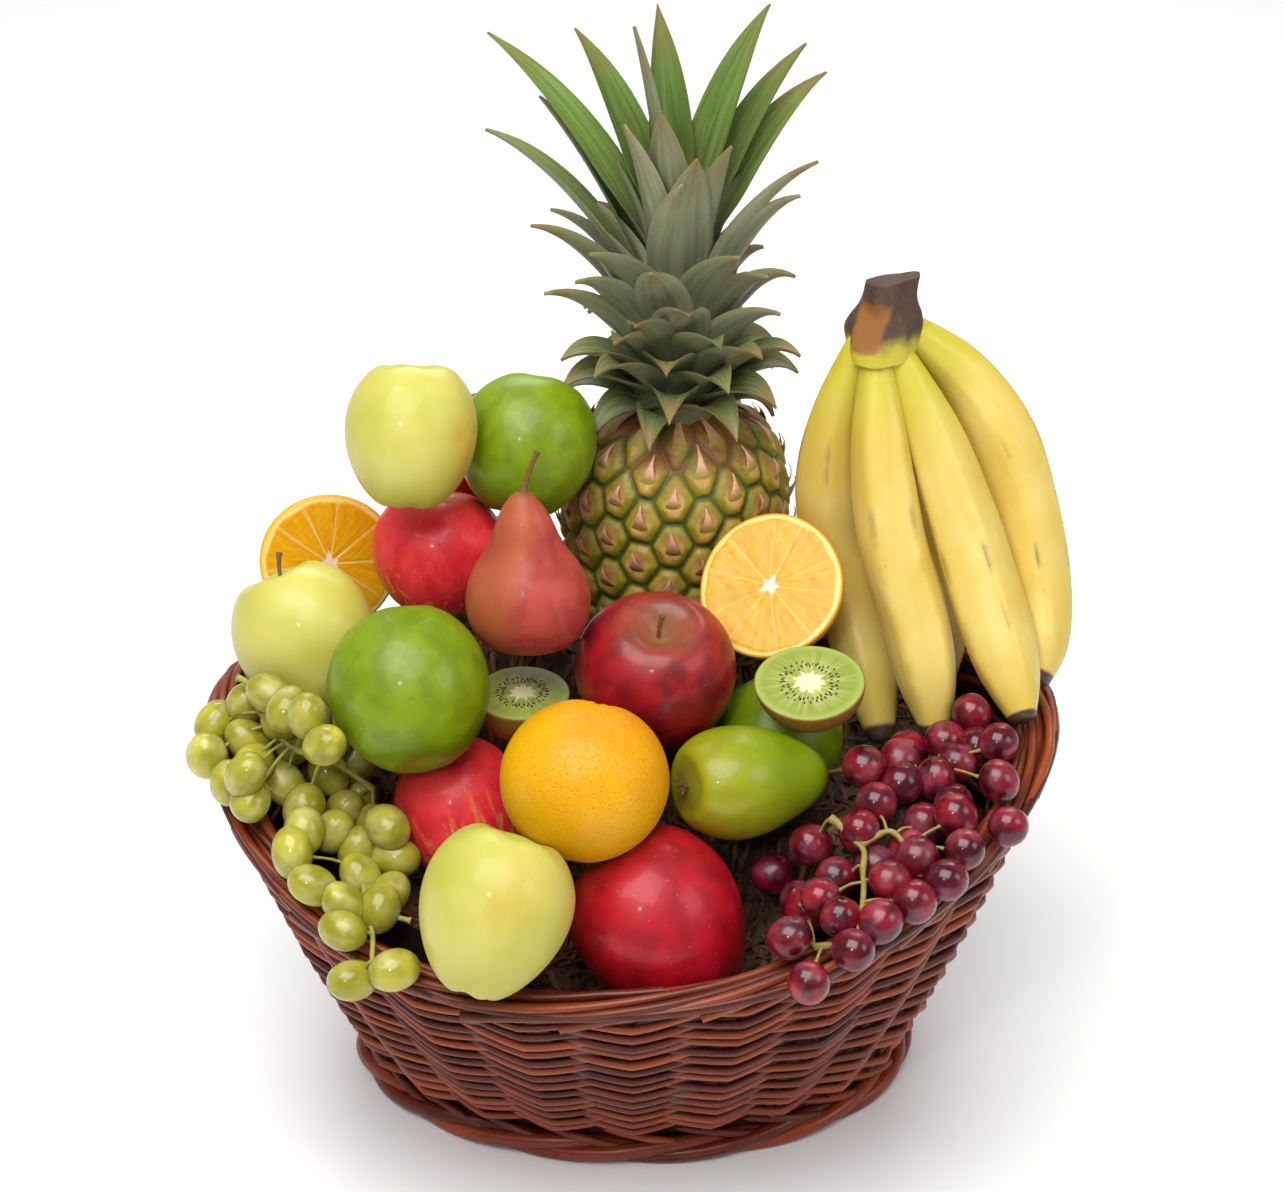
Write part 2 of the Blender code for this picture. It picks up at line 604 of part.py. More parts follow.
def make_fruit():
    """Every apple, orange, kiwi and pear in the heap."""
    return [
        make_apple("apple_pale_front", at(-61.5, -153.5, 193.5), 0.0384, 0.0440, (0.30, 0.52, 0.80), PALE,
                   taper=0.30),
        make_apple("apple_red_front", at(13, -110.5, 156), 0.0432, 0.0475, (-0.50, 0.42, 0.72), RED,
                   taper=0.22, lobes=0.05),
        make_orange("orange_whole", at(-21.5, -95, 225), 0.0392, (0.2, 0.5, 0.8)),
        make_apple("apple_red_low", at(-80, -52.5, 177.5), 0.0330, 0.0380, (-0.3, 0.5, 0.8), RED),
        make_apple("apple_green_mid", at(-102, -54, 246.5), 0.0392, 0.0435, (-0.2, 0.75, 0.6), GREEN),
        make_apple("apple_red_center", at(10.5, -17.5, 232), 0.0400, 0.0420, (0.08, -0.30, 0.95), DARK_RED,
                   stem=0.014, stem_lean=0.3, spin=70.0),
        make_apple("apple_green_hidden", at(70, -11, 189.5), 0.0325, 0.0340, (0.1, 0.4, 0.9), GREEN),
        make_apple("apple_pale_left", at(-154.3, 0, 241), 0.0356, 0.0405, (-0.42, 0.36, 0.83), PALE,
                   stem=0.020, stem_lean=0.35, spin=180.0),
        make_apple("apple_red_upper", at(-93.5, 41, 264), 0.0340, 0.0340, (0.05, 0.35, 0.93), RED),
        make_apple("apple_pale_top", at(-103, 23, 338), 0.0330, 0.0390, (0.05, 0.45, 0.88), PALE),
        make_apple("apple_green_top", at(-50.5, 55.5, 315), 0.0344, 0.0395, (0.2, 0.6, 0.75), GREEN),
        make_apple("apple_green_back", at(-82, 112, 212), 0.0335, 0.0315, (-0.2, 0.5, 0.9), GREEN,
                   stem=0.012, stem_lean=0.2),
        make_apple("apple_red_back", at(-76, 112, 282), 0.0325, 0.0305, (-0.3, 0.6, 0.75), RED,
                   stem=0.013, stem_lean=0.3, spin=40.0),
        make_apple("apple_red_left", at(-138, 53, 186), 0.0290, 0.0270, (-0.6, 0.1, 0.8), RED),
        make_orange("orange_back", at(109, 120, 206), 0.0355, (0.1, 0.7, 0.6)),
        make_half("orange_half_left", at(-148, 57, 249.5), 0.0345, 0.0345, 0.032, (0.26, -0.91, 0.32),
                  (0.85, 0.50, 0.06), 18),
        make_half("orange_half_right", at(65.5, 19, 259.5), 0.0363, 0.0363, 0.028, (-0.28, -0.64, 0.71),
                  (0.85, 0.50, 0.06), 18),
        make_half("kiwi_half_left", at(-52, -20, 224), 0.0235, 0.0215, 0.026, (0.03, -0.05, 1.0),
                  (0.22, 0.32, 0.03), 14),
        make_half("kiwi_half_right", at(82, -38.5, 241.5), 0.0266, 0.0230, 0.025, (-0.10, -0.30, 0.95),
                  (0.22, 0.32, 0.03), 14),
        make_pear("pear_red", at(-48.5, -13, 269.5), 0.0300, 0.086, (-0.03, 0.12, 1.0), (0.30, 0.07, 0.06),
                  stem=0.018, stem_lean=-0.45, spin=0.0),
        make_pear("pear_green", at(45, -71.5, 207.5), 0.0292, 0.088, (1.0, 0.38, -0.10), GREEN,
                  stem=0.010, stem_lean=0.1),
    ]


# Middles of the grapes as they are seen, the hindmost first
GREEN_GRAPES = ((208, 725), (239, 707), (268, 694), (313, 714), (288, 745), (229, 783), (251, 798), (323, 776),
                (346, 768), (349, 806), (350, 898), (388, 827), (203, 757), (243, 742),
                (331, 742), (249, 773), (302, 809), (296, 850), (394, 857), (390, 892), (403, 957), (361, 969),
                (288, 709), (280, 786), (333, 832), (369, 832), (319, 880), (351, 921))
RED_GRAPES = ((1001, 744), (914, 754), (905, 891), (871, 909), (844, 935), (952, 804),
              (956, 843), (833, 872), (856, 828), (901, 783), (937, 871), (864, 767), (960, 764), (996, 780),
              (1001, 822), (816, 889), (784, 925), (801, 965), (774, 875), (810, 843), (874, 802), (921, 822),
              (883, 873))


def remove_startup_objects():
    for obj in list(bpy.data.objects):
        bpy.data.objects.remove(obj)


def centre_on_origin(pieces):
    """Hang every piece on one empty and move that, so that the model stands centred over the origin."""
    bpy.context.view_layer.update()
    points = [p for obj in pieces for p in world_points(obj)]
    middle = [(min(p[i] for p in points) + max(p[i] for p in points)) / 2.0 for i in range(2)]
    base = bpy.data.objects.new("basket_place", None)
    bpy.context.collection.objects.link(base)
    for obj in pieces:
        obj.parent = base
    base.location = (-middle[0], -middle[1], 0.0)
    return base


def main():
    remove_startup_objects()
    basket = [make_foot_border(), make_basket_wall(), make_rim_border()]
    fruit = make_fruit()
    pineapple = make_pineapple()
    bananas = make_banana_hand()
    bpy.context.view_layer.update()
    heap = fruit + [pineapple, bananas]
    packing = make_packing(heap)
    bpy.context.view_layer.update()
    green = Bunch("grapes_green", GREEN_GRAPES, 0.0094, (0.55, 0.60, 0.16), 3).build(basket + heap + [packing])
    red = Bunch("grapes_red", RED_GRAPES, 0.0100, (0.16, 0.01, 0.03), 5).build(basket + heap + [packing])
    centre_on_origin(basket + heap + [packing, green, red])


main()
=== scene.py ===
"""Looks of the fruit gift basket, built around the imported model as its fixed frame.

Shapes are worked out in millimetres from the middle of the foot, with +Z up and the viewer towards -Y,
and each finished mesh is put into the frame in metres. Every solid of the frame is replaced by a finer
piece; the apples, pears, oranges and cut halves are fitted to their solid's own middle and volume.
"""

import json
import logging
import math
from dataclasses import dataclass, field
from enum import Enum

import bpy
import numpy as np
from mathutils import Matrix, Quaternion, Vector
from mathutils.bvhtree import BVHTree

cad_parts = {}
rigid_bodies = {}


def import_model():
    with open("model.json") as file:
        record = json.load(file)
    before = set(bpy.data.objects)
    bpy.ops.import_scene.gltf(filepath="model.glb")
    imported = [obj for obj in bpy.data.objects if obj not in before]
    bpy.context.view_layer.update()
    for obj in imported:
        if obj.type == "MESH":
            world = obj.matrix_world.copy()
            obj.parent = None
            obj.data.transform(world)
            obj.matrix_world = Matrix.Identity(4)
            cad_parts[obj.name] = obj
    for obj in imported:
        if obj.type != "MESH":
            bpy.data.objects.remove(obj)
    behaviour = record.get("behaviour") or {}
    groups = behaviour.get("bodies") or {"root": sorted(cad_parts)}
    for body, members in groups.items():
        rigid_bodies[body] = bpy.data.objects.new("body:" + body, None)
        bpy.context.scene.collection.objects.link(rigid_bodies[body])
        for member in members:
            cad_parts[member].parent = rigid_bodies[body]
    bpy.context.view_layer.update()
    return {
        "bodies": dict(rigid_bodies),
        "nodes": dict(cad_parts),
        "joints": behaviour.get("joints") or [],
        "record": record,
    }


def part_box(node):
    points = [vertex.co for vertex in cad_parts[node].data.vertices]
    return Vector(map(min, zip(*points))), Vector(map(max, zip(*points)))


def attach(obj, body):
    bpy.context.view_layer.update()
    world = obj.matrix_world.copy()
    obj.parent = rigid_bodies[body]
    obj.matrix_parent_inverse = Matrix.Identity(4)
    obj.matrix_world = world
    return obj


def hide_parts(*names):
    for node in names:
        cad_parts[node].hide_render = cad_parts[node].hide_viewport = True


LOG = logging.getLogger("fruit_basket")
MM = 0.001
TURN = 2.0 * math.pi
GOLDEN_ANGLE = math.radians(137.508)
BODY = "root"

# The photograph: its size in pixels, and its camera's dip, place in millimetres and focal length in pixels
IMAGE_WIDE, IMAGE_TALL = 1284, 1192
VIEW_DIP = math.radians(31.0)
VIEW_FROM = (4.4, -1286.0, 1037.6)
FOCAL_PIXELS = 3190.0
SENSOR_WIDE = 36.0
VIEW_AHEAD = np.array([0.0, math.cos(VIEW_DIP), -math.sin(VIEW_DIP)])
UP = np.array([0.0, 0.0, 1.0])

Colour = tuple[float, float, float]
Pixel = tuple[float, float]


def tint(red: int, green: int, blue: int) -> Colour:
    """Linear colour of an eight-bit screen colour."""
    return tuple((c / 255.0 / 12.92) if c <= 10 else ((c / 255.0 + 0.055) / 1.055) ** 2.4
                 for c in (red, green, blue))


def unit(vectors: np.ndarray) -> np.ndarray:
    """Vectors scaled to length one along the last axis."""
    return vectors / np.maximum(np.linalg.norm(vectors, axis=-1, keepdims=True), 1e-9)


def xyz(x: np.ndarray, y: np.ndarray, z: np.ndarray) -> np.ndarray:
    """Places from coordinates whose shapes fit each other."""
    return np.stack(np.broadcast_arrays(x, y, z), axis=-1)


def angles_round(steps: int) -> np.ndarray:
    """Angles of one full turn in even steps, from 0."""
    return TURN * np.arange(steps) / steps


def sphere(rows: int, columns: int) -> tuple[np.ndarray, np.ndarray, np.ndarray]:
    """Angles from the pole, angles round about, and the unit places that they give."""
    t = np.linspace(0.0, math.pi, rows)[:, None]
    a = angles_round(columns)[None, :]
    return t, a, xyz(np.sin(t) * np.cos(a), np.sin(t) * np.sin(a), np.cos(t))


def smooth(low: float, high: float, value: np.ndarray) -> np.ndarray:
    """Smooth step from 0 at low to 1 at high."""
    t = np.clip((value - low) / (high - low), 0.0, 1.0)
    return t * t * (3.0 - 2.0 * t)


def turn_to(axis: tuple[float, float, float], spin: float = 0.0) -> np.ndarray:
    """Rotation matrix that takes +Z to the axis, after a spin in degrees about +Z."""
    turn = Vector(axis).to_track_quat("Z", "Y") @ Quaternion((0, 0, 1), math.radians(spin))
    return np.array(turn.to_matrix())


def wobble(points: np.ndarray, seed: int, waves: float) -> np.ndarray:
    """Smooth unevenness from -1 to 1: the mean of six sine waves in random directions.

    Args:
        points: Places, with the three coordinates on the last axis.
        seed: Seed of the directions and phases.
        waves: Mean number of waves for each unit of length.

    Returns:
        One value for each point.
    """
    draw = np.random.default_rng(seed)
    directions = unit(draw.normal(size=(6, 3))) * draw.uniform(0.6, 1.5, (6, 1)) * waves * TURN
    phases = draw.uniform(0.0, TURN, 6)
    return np.sin(points @ directions.T + phases).mean(axis=-1) * 1.6


# Meshes as arrays

@dataclass
class Shell:
    """A mesh being worked out: points in millimetres, faces, and marks that its finish reads."""

    points: np.ndarray
    faces: list[np.ndarray]
    marks: dict[str, np.ndarray] = field(default_factory=dict)

    def triangles(self) -> np.ndarray:
        """All faces cut into triangles."""
        cut = []
        for face in self.faces:
            for k in range(1, face.shape[1] - 1):
                cut.append(face[:, (0, k, k + 1)])
        return np.concatenate(cut)

    def outward(self) -> "Shell":
        """The same closed shell with its faces turned outwards."""
        volume, _ = solid_measure(self.points, self.triangles())
        if volume < 0.0:
            self.faces = [face[:, ::-1] for face in self.faces]
        return self

    def placed(self, turn: np.ndarray, place: np.ndarray, scale: float = 1.0) -> "Shell":
        """The shell scaled, turned by a matrix and moved to a place."""
        return Shell(self.points * scale @ turn.T + place, self.faces, self.marks)

    def marked(self, **values: float) -> "Shell":
        """The shell with the same value of each named mark all over."""
        for name, value in values.items():
            self.marks[name] = np.full(len(self.points), float(value))
        return self


def solid_measure(points: np.ndarray, triangles: np.ndarray) -> tuple[float, np.ndarray]:
    """Volume and middle of a closed solid, summed over the pyramids from the origin to each triangle."""
    a, b, c = (points[triangles[:, k]] for k in range(3))
    pyramids = np.einsum("ij,ij->i", a, np.cross(b, c)) / 6.0
    volume = float(pyramids.sum())
    return volume, ((a + b + c) / 4.0 * pyramids[:, None]).sum(axis=0) / volume


def join(shells: list[Shell]) -> Shell:
    """Several shells as one; a mark that a shell lacks is 0 there."""
    names = {name: value.shape[1:] for shell in shells for name, value in shell.marks.items()}
    start, faces = 0, []
    for shell in shells:
        faces += [face + start for face in shell.faces]
        start += len(shell.points)
    marks = {name: np.concatenate([shell.marks.get(name, np.zeros((len(shell.points),) + shape))
                                   for shell in shells]) for name, shape in names.items()}
    return Shell(np.concatenate([shell.points for shell in shells]), faces, marks)


def grid_faces(rows: int, columns: int, wrap_rows: bool, wrap_columns: bool) -> np.ndarray:
    """Four-sided faces over a grid of points, row after row."""
    i, j = np.meshgrid(np.arange(rows - (not wrap_rows)), np.arange(columns - (not wrap_columns)),
                       indexing="ij")
    n, m = (i + 1) % rows, (j + 1) % columns
    corners = (i * columns + j, i * columns + m, n * columns + m, n * columns + j)
    return np.stack([corner.ravel() for corner in corners], axis=1)


def ball(grid: np.ndarray, **marks: np.ndarray) -> Shell:
    """A closed surface from a grid whose first and last rows are its two poles.

    Args:
        grid: Places, as rows from pole to pole, columns round about, and three coordinates.
        marks: Values on the same grid.

    Returns:
        The shell, facing outwards, with each pole as one point.
    """
    rows, columns = grid.shape[:2]

    def flat(values: np.ndarray) -> np.ndarray:
        """Values of the two poles and of the rings between, as one list."""
        middle = values[1:-1].reshape((-1,) + values.shape[2:])
        return np.concatenate([values[:1].mean(axis=1), middle, values[-1:].mean(axis=1)])

    faces = grid_faces(rows - 2, columns, False, True) + 1
    ring = np.arange(columns)
    after = (ring + 1) % columns
    last = (rows - 3) * columns + 1
    first_fan = np.stack([np.zeros_like(ring), after + 1, ring + 1], axis=1)
    last_fan = np.stack([np.full_like(ring, last + columns), last + ring, last + after], axis=1)
    shell = Shell(flat(grid), [faces, first_fan, last_fan],
                  {name: flat(np.broadcast_to(value, grid.shape[:2] + np.shape(value)[2:]))
                   for name, value in marks.items()})
    return shell.outward()


def tubes(paths: np.ndarray, radii: np.ndarray, sides: int, up: np.ndarray, flat: float = 1.0,
          closed: bool = False, seed: int = 0) -> Shell:
    """Round rods along several paths of the same number of points.

    Each ring stands square to its path. Its half height is the radius, along the part of up that is
    square to the path, and its half width is flat times that.

    Args:
        paths: Places, as rods, points along each rod, and three coordinates.
        radii: Half thickness, in a shape that fits rods and points.
        sides: Points in a ring.
        up: Direction of a ring's height, in a shape that fits the paths.
        flat: Half width of a ring as a share of its half height.
        closed: True where a path's end meets its start.
        seed: Seed of the tone of each rod.

    Returns:
        The shell, with grain (way along in millimetres, share round, tone) and tone as its marks.
    """
    rods, steps = paths.shape[:2]
    if closed:
        ahead = np.roll(paths, -1, axis=1) - np.roll(paths, 1, axis=1)
    else:
        ahead = np.gradient(paths, axis=1)
    ahead = unit(ahead)
    side = unit(np.cross(ahead, np.broadcast_to(up, paths.shape)))
    lift = np.cross(side, ahead)
    turned = angles_round(sides)
    radii = np.broadcast_to(radii, (rods, steps))[:, :, None, None]
    rings = lift[:, :, None] * np.cos(turned)[:, None] + side[:, :, None] * np.sin(turned)[:, None] * flat
    points = paths[:, :, None] + rings * radii
    lengths = np.linalg.norm(np.diff(paths, axis=1), axis=2).cumsum(axis=1)
    along = np.concatenate([np.zeros((rods, 1)), lengths], axis=1)
    tone = np.random.default_rng(seed).uniform(0.0, 1.0, rods)
    shape = (rods, steps, sides)
    grain = np.stack([np.broadcast_to(along[:, :, None], shape),
                      np.broadcast_to(np.arange(sides) / sides, shape),
                      np.broadcast_to(tone[:, None, None] * 100.0, shape)], axis=-1)
    one = grid_faces(steps, sides, closed, True)[:, ::-1]
    faces = [(one[None] + (np.arange(rods) * steps * sides)[:, None, None]).reshape(-1, 4)]
    points, grain = points.reshape(-1, 3), grain.reshape(-1, 3)
    tones = np.repeat(tone, steps * sides)
    if not closed:
        ends = np.concatenate([paths[:, 0], paths[:, -1]])
        start = len(points)
        ring = np.arange(sides)
        after = (ring + 1) % sides
        offsets = (np.arange(rods) * steps * sides)[:, None]
        for row, (here, there) in enumerate(((ring, after), (after, ring))):
            base = offsets + row * (steps - 1) * sides
            tip = np.broadcast_to((start + row * rods + np.arange(rods))[:, None], (rods, sides))
            faces.append(np.stack([tip, base + here, base + there], axis=-1).reshape(-1, 3)[:, ::-1])
        points = np.concatenate([points, ends])
        grain = np.concatenate([grain, np.zeros((2 * rods, 3))])
        tones = np.concatenate([tones, np.tile(tone, 2)])
    return Shell(points, faces, {"grain": grain, "tone": tones}).outward()


def curve_through(points: np.ndarray, steps: int) -> np.ndarray:
    """A smooth curve through a few points, by the Catmull-Rom rule, as steps points."""
    padded = np.concatenate([points[:1], points, points[-1:]])
    u = np.linspace(0.0, len(points) - 1, steps)
    i = np.minimum(u.astype(int), len(points) - 2)
    f = (u - i)[:, None]
    a, b, c, d = (padded[i + k] for k in range(4))
    return 0.5 * (2 * b + (c - a) * f + (2 * a - 5 * b + 4 * c - d) * f ** 2
                  + (3 * b - a - 3 * c + d) * f ** 3)


# The frame

class Basis:
    """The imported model: where its middle is, and the size and place of each of its solids."""

    def __init__(self, frame: dict) -> None:
        """Keep the frame and find the middle of the foot."""
        self.nodes = frame["nodes"]
        low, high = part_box("foot_border")
        self.middle = np.array([(low[0] + high[0]) / 2.0, (low[1] + high[1]) / 2.0, 0.0])

    def solid(self, node: str) -> tuple[np.ndarray, np.ndarray]:
        """Points in millimetres from the middle of the foot, and triangles, of a solid."""
        mesh = self.nodes[node].data
        points = np.empty(len(mesh.vertices) * 3)
        mesh.vertices.foreach_get("co", points)
        mesh.calc_loop_triangles()
        triangles = np.empty(len(mesh.loop_triangles) * 3, dtype=np.int64)
        mesh.loop_triangles.foreach_get("vertices", triangles)
        world = points.reshape(-1, 3) @ np.array(self.nodes[node].matrix_world.to_3x3()).T
        return (world - self.middle) / MM, triangles.reshape(-1, 3)

    def tree(self, nodes: list[str]) -> BVHTree:
        """Search tree over the surfaces of several solids, in millimetres."""
        points, faces, start = [], [], 0
        for node in nodes:
            own, triangles = self.solid(node)
            points += own.tolist()
            faces += (triangles + start).tolist()
            start += len(own)
        return BVHTree.FromPolygons(points, faces)

    def fit(self, shells: list[Shell], node: str, turn: np.ndarray) -> list[Shell]:
        """Shells turned, then scaled and moved so that the first has the volume and middle of a solid."""
        volume, middle = solid_measure(*self.solid(node))
        own_volume, own_middle = solid_measure(shells[0].points, shells[0].triangles())
        scale = (abs(volume) / abs(own_volume)) ** (1.0 / 3.0)
        return [shell.placed(turn, middle - scale * (turn @ own_middle), scale) for shell in shells]

    def add(self, name: str, shell: Shell, material: bpy.types.Material, slot: str,
            nodes: tuple[str, ...] = (), crease: float = 60.0) -> None:
        """Put a finished piece into the scene, riding on the one body.

        Args:
            name: The piece's name.
            shell: Its mesh in millimetres.
            material: Its finish.
            slot: The record's material slot of the finish; not used.
            nodes: The frame's solids that the piece stands for.
            crease: Angle in degrees past which an edge is sharp.
        """
        mesh = bpy.data.meshes.new(name)
        loops = np.concatenate([face.ravel() for face in shell.faces]).astype(np.int32)
        sizes = np.concatenate([np.full(len(face), face.shape[1]) for face in shell.faces])
        mesh.vertices.add(len(shell.points))
        mesh.vertices.foreach_set("co", (shell.points * MM + self.middle).ravel())
        mesh.loops.add(len(loops))
        mesh.loops.foreach_set("vertex_index", loops)
        mesh.polygons.add(len(sizes))
        mesh.polygons.foreach_set("loop_start", np.concatenate([[0], np.cumsum(sizes)[:-1]]).astype(np.int32))
        mesh.update(calc_edges=True)
        for mark, values in shell.marks.items():
            kind, key = ("FLOAT_VECTOR", "vector") if values.ndim == 2 else ("FLOAT", "value")
            layer = mesh.attributes.new(mark, kind, "POINT")
            layer.data.foreach_set(key, np.ascontiguousarray(values, dtype=np.float32).ravel())
        mesh.shade_smooth()
        mesh.set_sharp_from_angle(angle=math.radians(crease))
        mesh.materials.append(material)
        obj = bpy.data.objects.new(name, mesh)
        bpy.context.collection.objects.link(obj)
        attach(obj, BODY)
        if nodes:
            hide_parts(*nodes)
        LOG.info("%s: %d points, %d triangles", name, len(shell.points), len(shell.triangles()))


# Finishes

class Recipe:
    """A Principled material, with short ways to add nodes to it and to join them."""

    def __init__(self, name: str) -> None:
        """Start the material with its usual shader."""
        self.material = bpy.data.materials.new(name)
        self.material.use_nodes = True
        self.tree = self.material.node_tree
        self.shader = self.tree.nodes["Principled BSDF"]

    def put(self, socket: bpy.types.NodeSocket, value: object) -> None:
        """Join a socket to another, or set its number or colour."""
        if isinstance(value, bpy.types.NodeSocket):
            self.tree.links.new(value, socket)
        elif isinstance(value, tuple) and socket.type == "RGBA":
            socket.default_value = (*value, 1.0)
        else:
            socket.default_value = value

    def shade(self, **values: object) -> None:
        """Set inputs of the shader by their names, with _ for each space."""
        for name, value in values.items():
            self.put(self.shader.inputs[name.replace("_", " ")], value)

    def mark(self, name: str, part: str = "Fac") -> bpy.types.NodeSocket:
        """A mark of the mesh: its value, or its Vector."""
        node = self.tree.nodes.new("ShaderNodeAttribute")
        node.attribute_name = name
        return node.outputs[part]

    def place(self) -> bpy.types.NodeSocket:
        """Object coordinates."""
        return self.tree.nodes.new("ShaderNodeTexCoord").outputs["Object"]

    def stretch(self, vector: bpy.types.NodeSocket,
                scale: tuple[float, float, float]) -> bpy.types.NodeSocket:
        """A vector scaled along its three axes."""
        node = self.tree.nodes.new("ShaderNodeMapping")
        self.put(node.inputs["Vector"], vector)
        node.inputs["Scale"].default_value = scale
        return node.outputs["Vector"]

    def noise(self, vector: bpy.types.NodeSocket, scale: float, detail: float = 3.0,
              rough: float = 0.55) -> bpy.types.NodeSocket:
        """Soft cloudy noise from 0 to 1."""
        node = self.tree.nodes.new("ShaderNodeTexNoise")
        self.put(node.inputs["Vector"], vector)
        node.inputs["Scale"].default_value = scale
        node.inputs["Detail"].default_value = detail
        node.inputs["Roughness"].default_value = rough
        return node.outputs["Fac"]

    def cells(self, vector: bpy.types.NodeSocket, scale: float, jitter: float = 1.0) -> bpy.types.NodeSocket:
        """Distance to the nearest of many scattered points."""
        node = self.tree.nodes.new("ShaderNodeTexVoronoi")
        self.put(node.inputs["Vector"], vector)
        node.inputs["Scale"].default_value = scale
        node.inputs["Randomness"].default_value = jitter
        return node.outputs["Distance"]

    def math(self, kind: str, a: object, b: object) -> bpy.types.NodeSocket:
        """One step of arithmetic, such as ADD or MULTIPLY."""
        node = self.tree.nodes.new("ShaderNodeMath")
        node.operation = kind
        self.put(node.inputs[0], a)
        self.put(node.inputs[1], b)
        return node.outputs[0]

    def times(self, a: object, b: object) -> bpy.types.NodeSocket:
        """Product of two values."""
        return self.math("MULTIPLY", a, b)

    def plus(self, a: object, b: object) -> bpy.types.NodeSocket:
        """Sum of two values."""
        return self.math("ADD", a, b)

    def step(self, value: object, low: float, high: float, start: float = 0.0,
             end: float = 1.0) -> bpy.types.NodeSocket:
        """Smooth step: start at low, end at high."""
        node = self.tree.nodes.new("ShaderNodeMapRange")
        node.interpolation_type = "SMOOTHSTEP"
        self.put(node.inputs["Value"], value)
        for key, number in (("From Min", low), ("From Max", high), ("To Min", start), ("To Max", end)):
            node.inputs[key].default_value = number
        return node.outputs["Result"]

    def mix(self, share: object, a: object, b: object) -> bpy.types.NodeSocket:
        """Colour a turned into colour b by a share."""
        node = self.tree.nodes.new("ShaderNodeMix")
        node.data_type = "RGBA"
        self.put(node.inputs[0], share)
        self.put(node.inputs[6], a)
        self.put(node.inputs[7], b)
        return node.outputs[2]

    def bump(self, height: object, strength: float, depth_mm: float,
             below: object = None) -> bpy.types.NodeSocket:
        """Fine relief of a depth in millimetres, on top of other relief."""
        node = self.tree.nodes.new("ShaderNodeBump")
        self.put(node.inputs["Height"], height)
        node.inputs["Strength"].default_value = strength
        node.inputs["Distance"].default_value = depth_mm * MM
        if below is not None:
            self.put(node.inputs["Normal"], below)
        return node.outputs["Normal"]


@dataclass(frozen=True)
class WillowFinish:
    """Stained and varnished willow rods: streaks along the rod, each rod of its own tone, and a near-black
    painted shade where a piece carries the deep mark.
    """

    name: str
    dark: Colour
    middle: Colour
    light: Colour
    roughness: float = 0.42
    # Near-black colour of the painted shade that stands in for the shadow in the weave's gaps
    shade: Colour = tint(20, 8, 6)

    def build(self) -> bpy.types.Material:
        """The material; it reads grain, tone and deep; deep is the share of painted shade."""
        r = Recipe(self.name)
        grain = r.mark("grain", "Vector")
        streaks = r.noise(r.stretch(grain, (0.03, 7.0, 1.0)), 1.0, 4.0, 0.65)
        patches = r.noise(r.stretch(grain, (0.012, 0.5, 1.0)), 1.0, 2.0)
        colour = r.mix(r.step(streaks, 0.30, 0.62), self.dark, self.middle)
        glow = r.plus(r.times(r.mark("tone"), 0.45), r.times(patches, 0.9))
        colour = r.mix(r.step(glow, 0.42, 1.02), colour, self.light)
        fibres = r.noise(r.stretch(grain, (0.05, 26.0, 1.0)), 1.0, 2.0)
        # Painted shade: the deep mark darkens the backing and the stakes towards near black
        colour = r.mix(r.mark("deep"), colour, self.shade)
        r.shade(Base_Color=colour, Normal=r.bump(fibres, 0.35, 0.25),
                Roughness=r.step(fibres, 0.2, 0.9, self.roughness - 0.1, self.roughness + 0.2),
                Specular_IOR_Level=0.35, Coat_Weight=0.08, Coat_Roughness=0.25)
        return r.material


@dataclass(frozen=True)
class StrawFinish:
    """Shredded straw between the fruit, in near-black and dark brown colours: painted shade that stands in
    for the deep shadow there.
    """

    name: str = "straw"
    # Both colours are kept dark as painted shade: the straw stands in for the shadow between the fruit
    dark: Colour = tint(26, 14, 8)
    light: Colour = tint(106, 70, 36)

    def build(self) -> bpy.types.Material:
        """The material; it reads grain and tone."""
        r = Recipe(self.name)
        fibres = r.noise(r.stretch(r.mark("grain", "Vector"), (0.1, 9.0, 1.0)), 1.0, 3.0)
        share = r.plus(r.times(r.mark("tone"), 0.8), r.times(fibres, 0.3))
        r.shade(Base_Color=r.mix(share, self.dark, self.light), Roughness=0.75,
                Normal=r.bump(fibres, 0.4, 0.2))
        return r.material


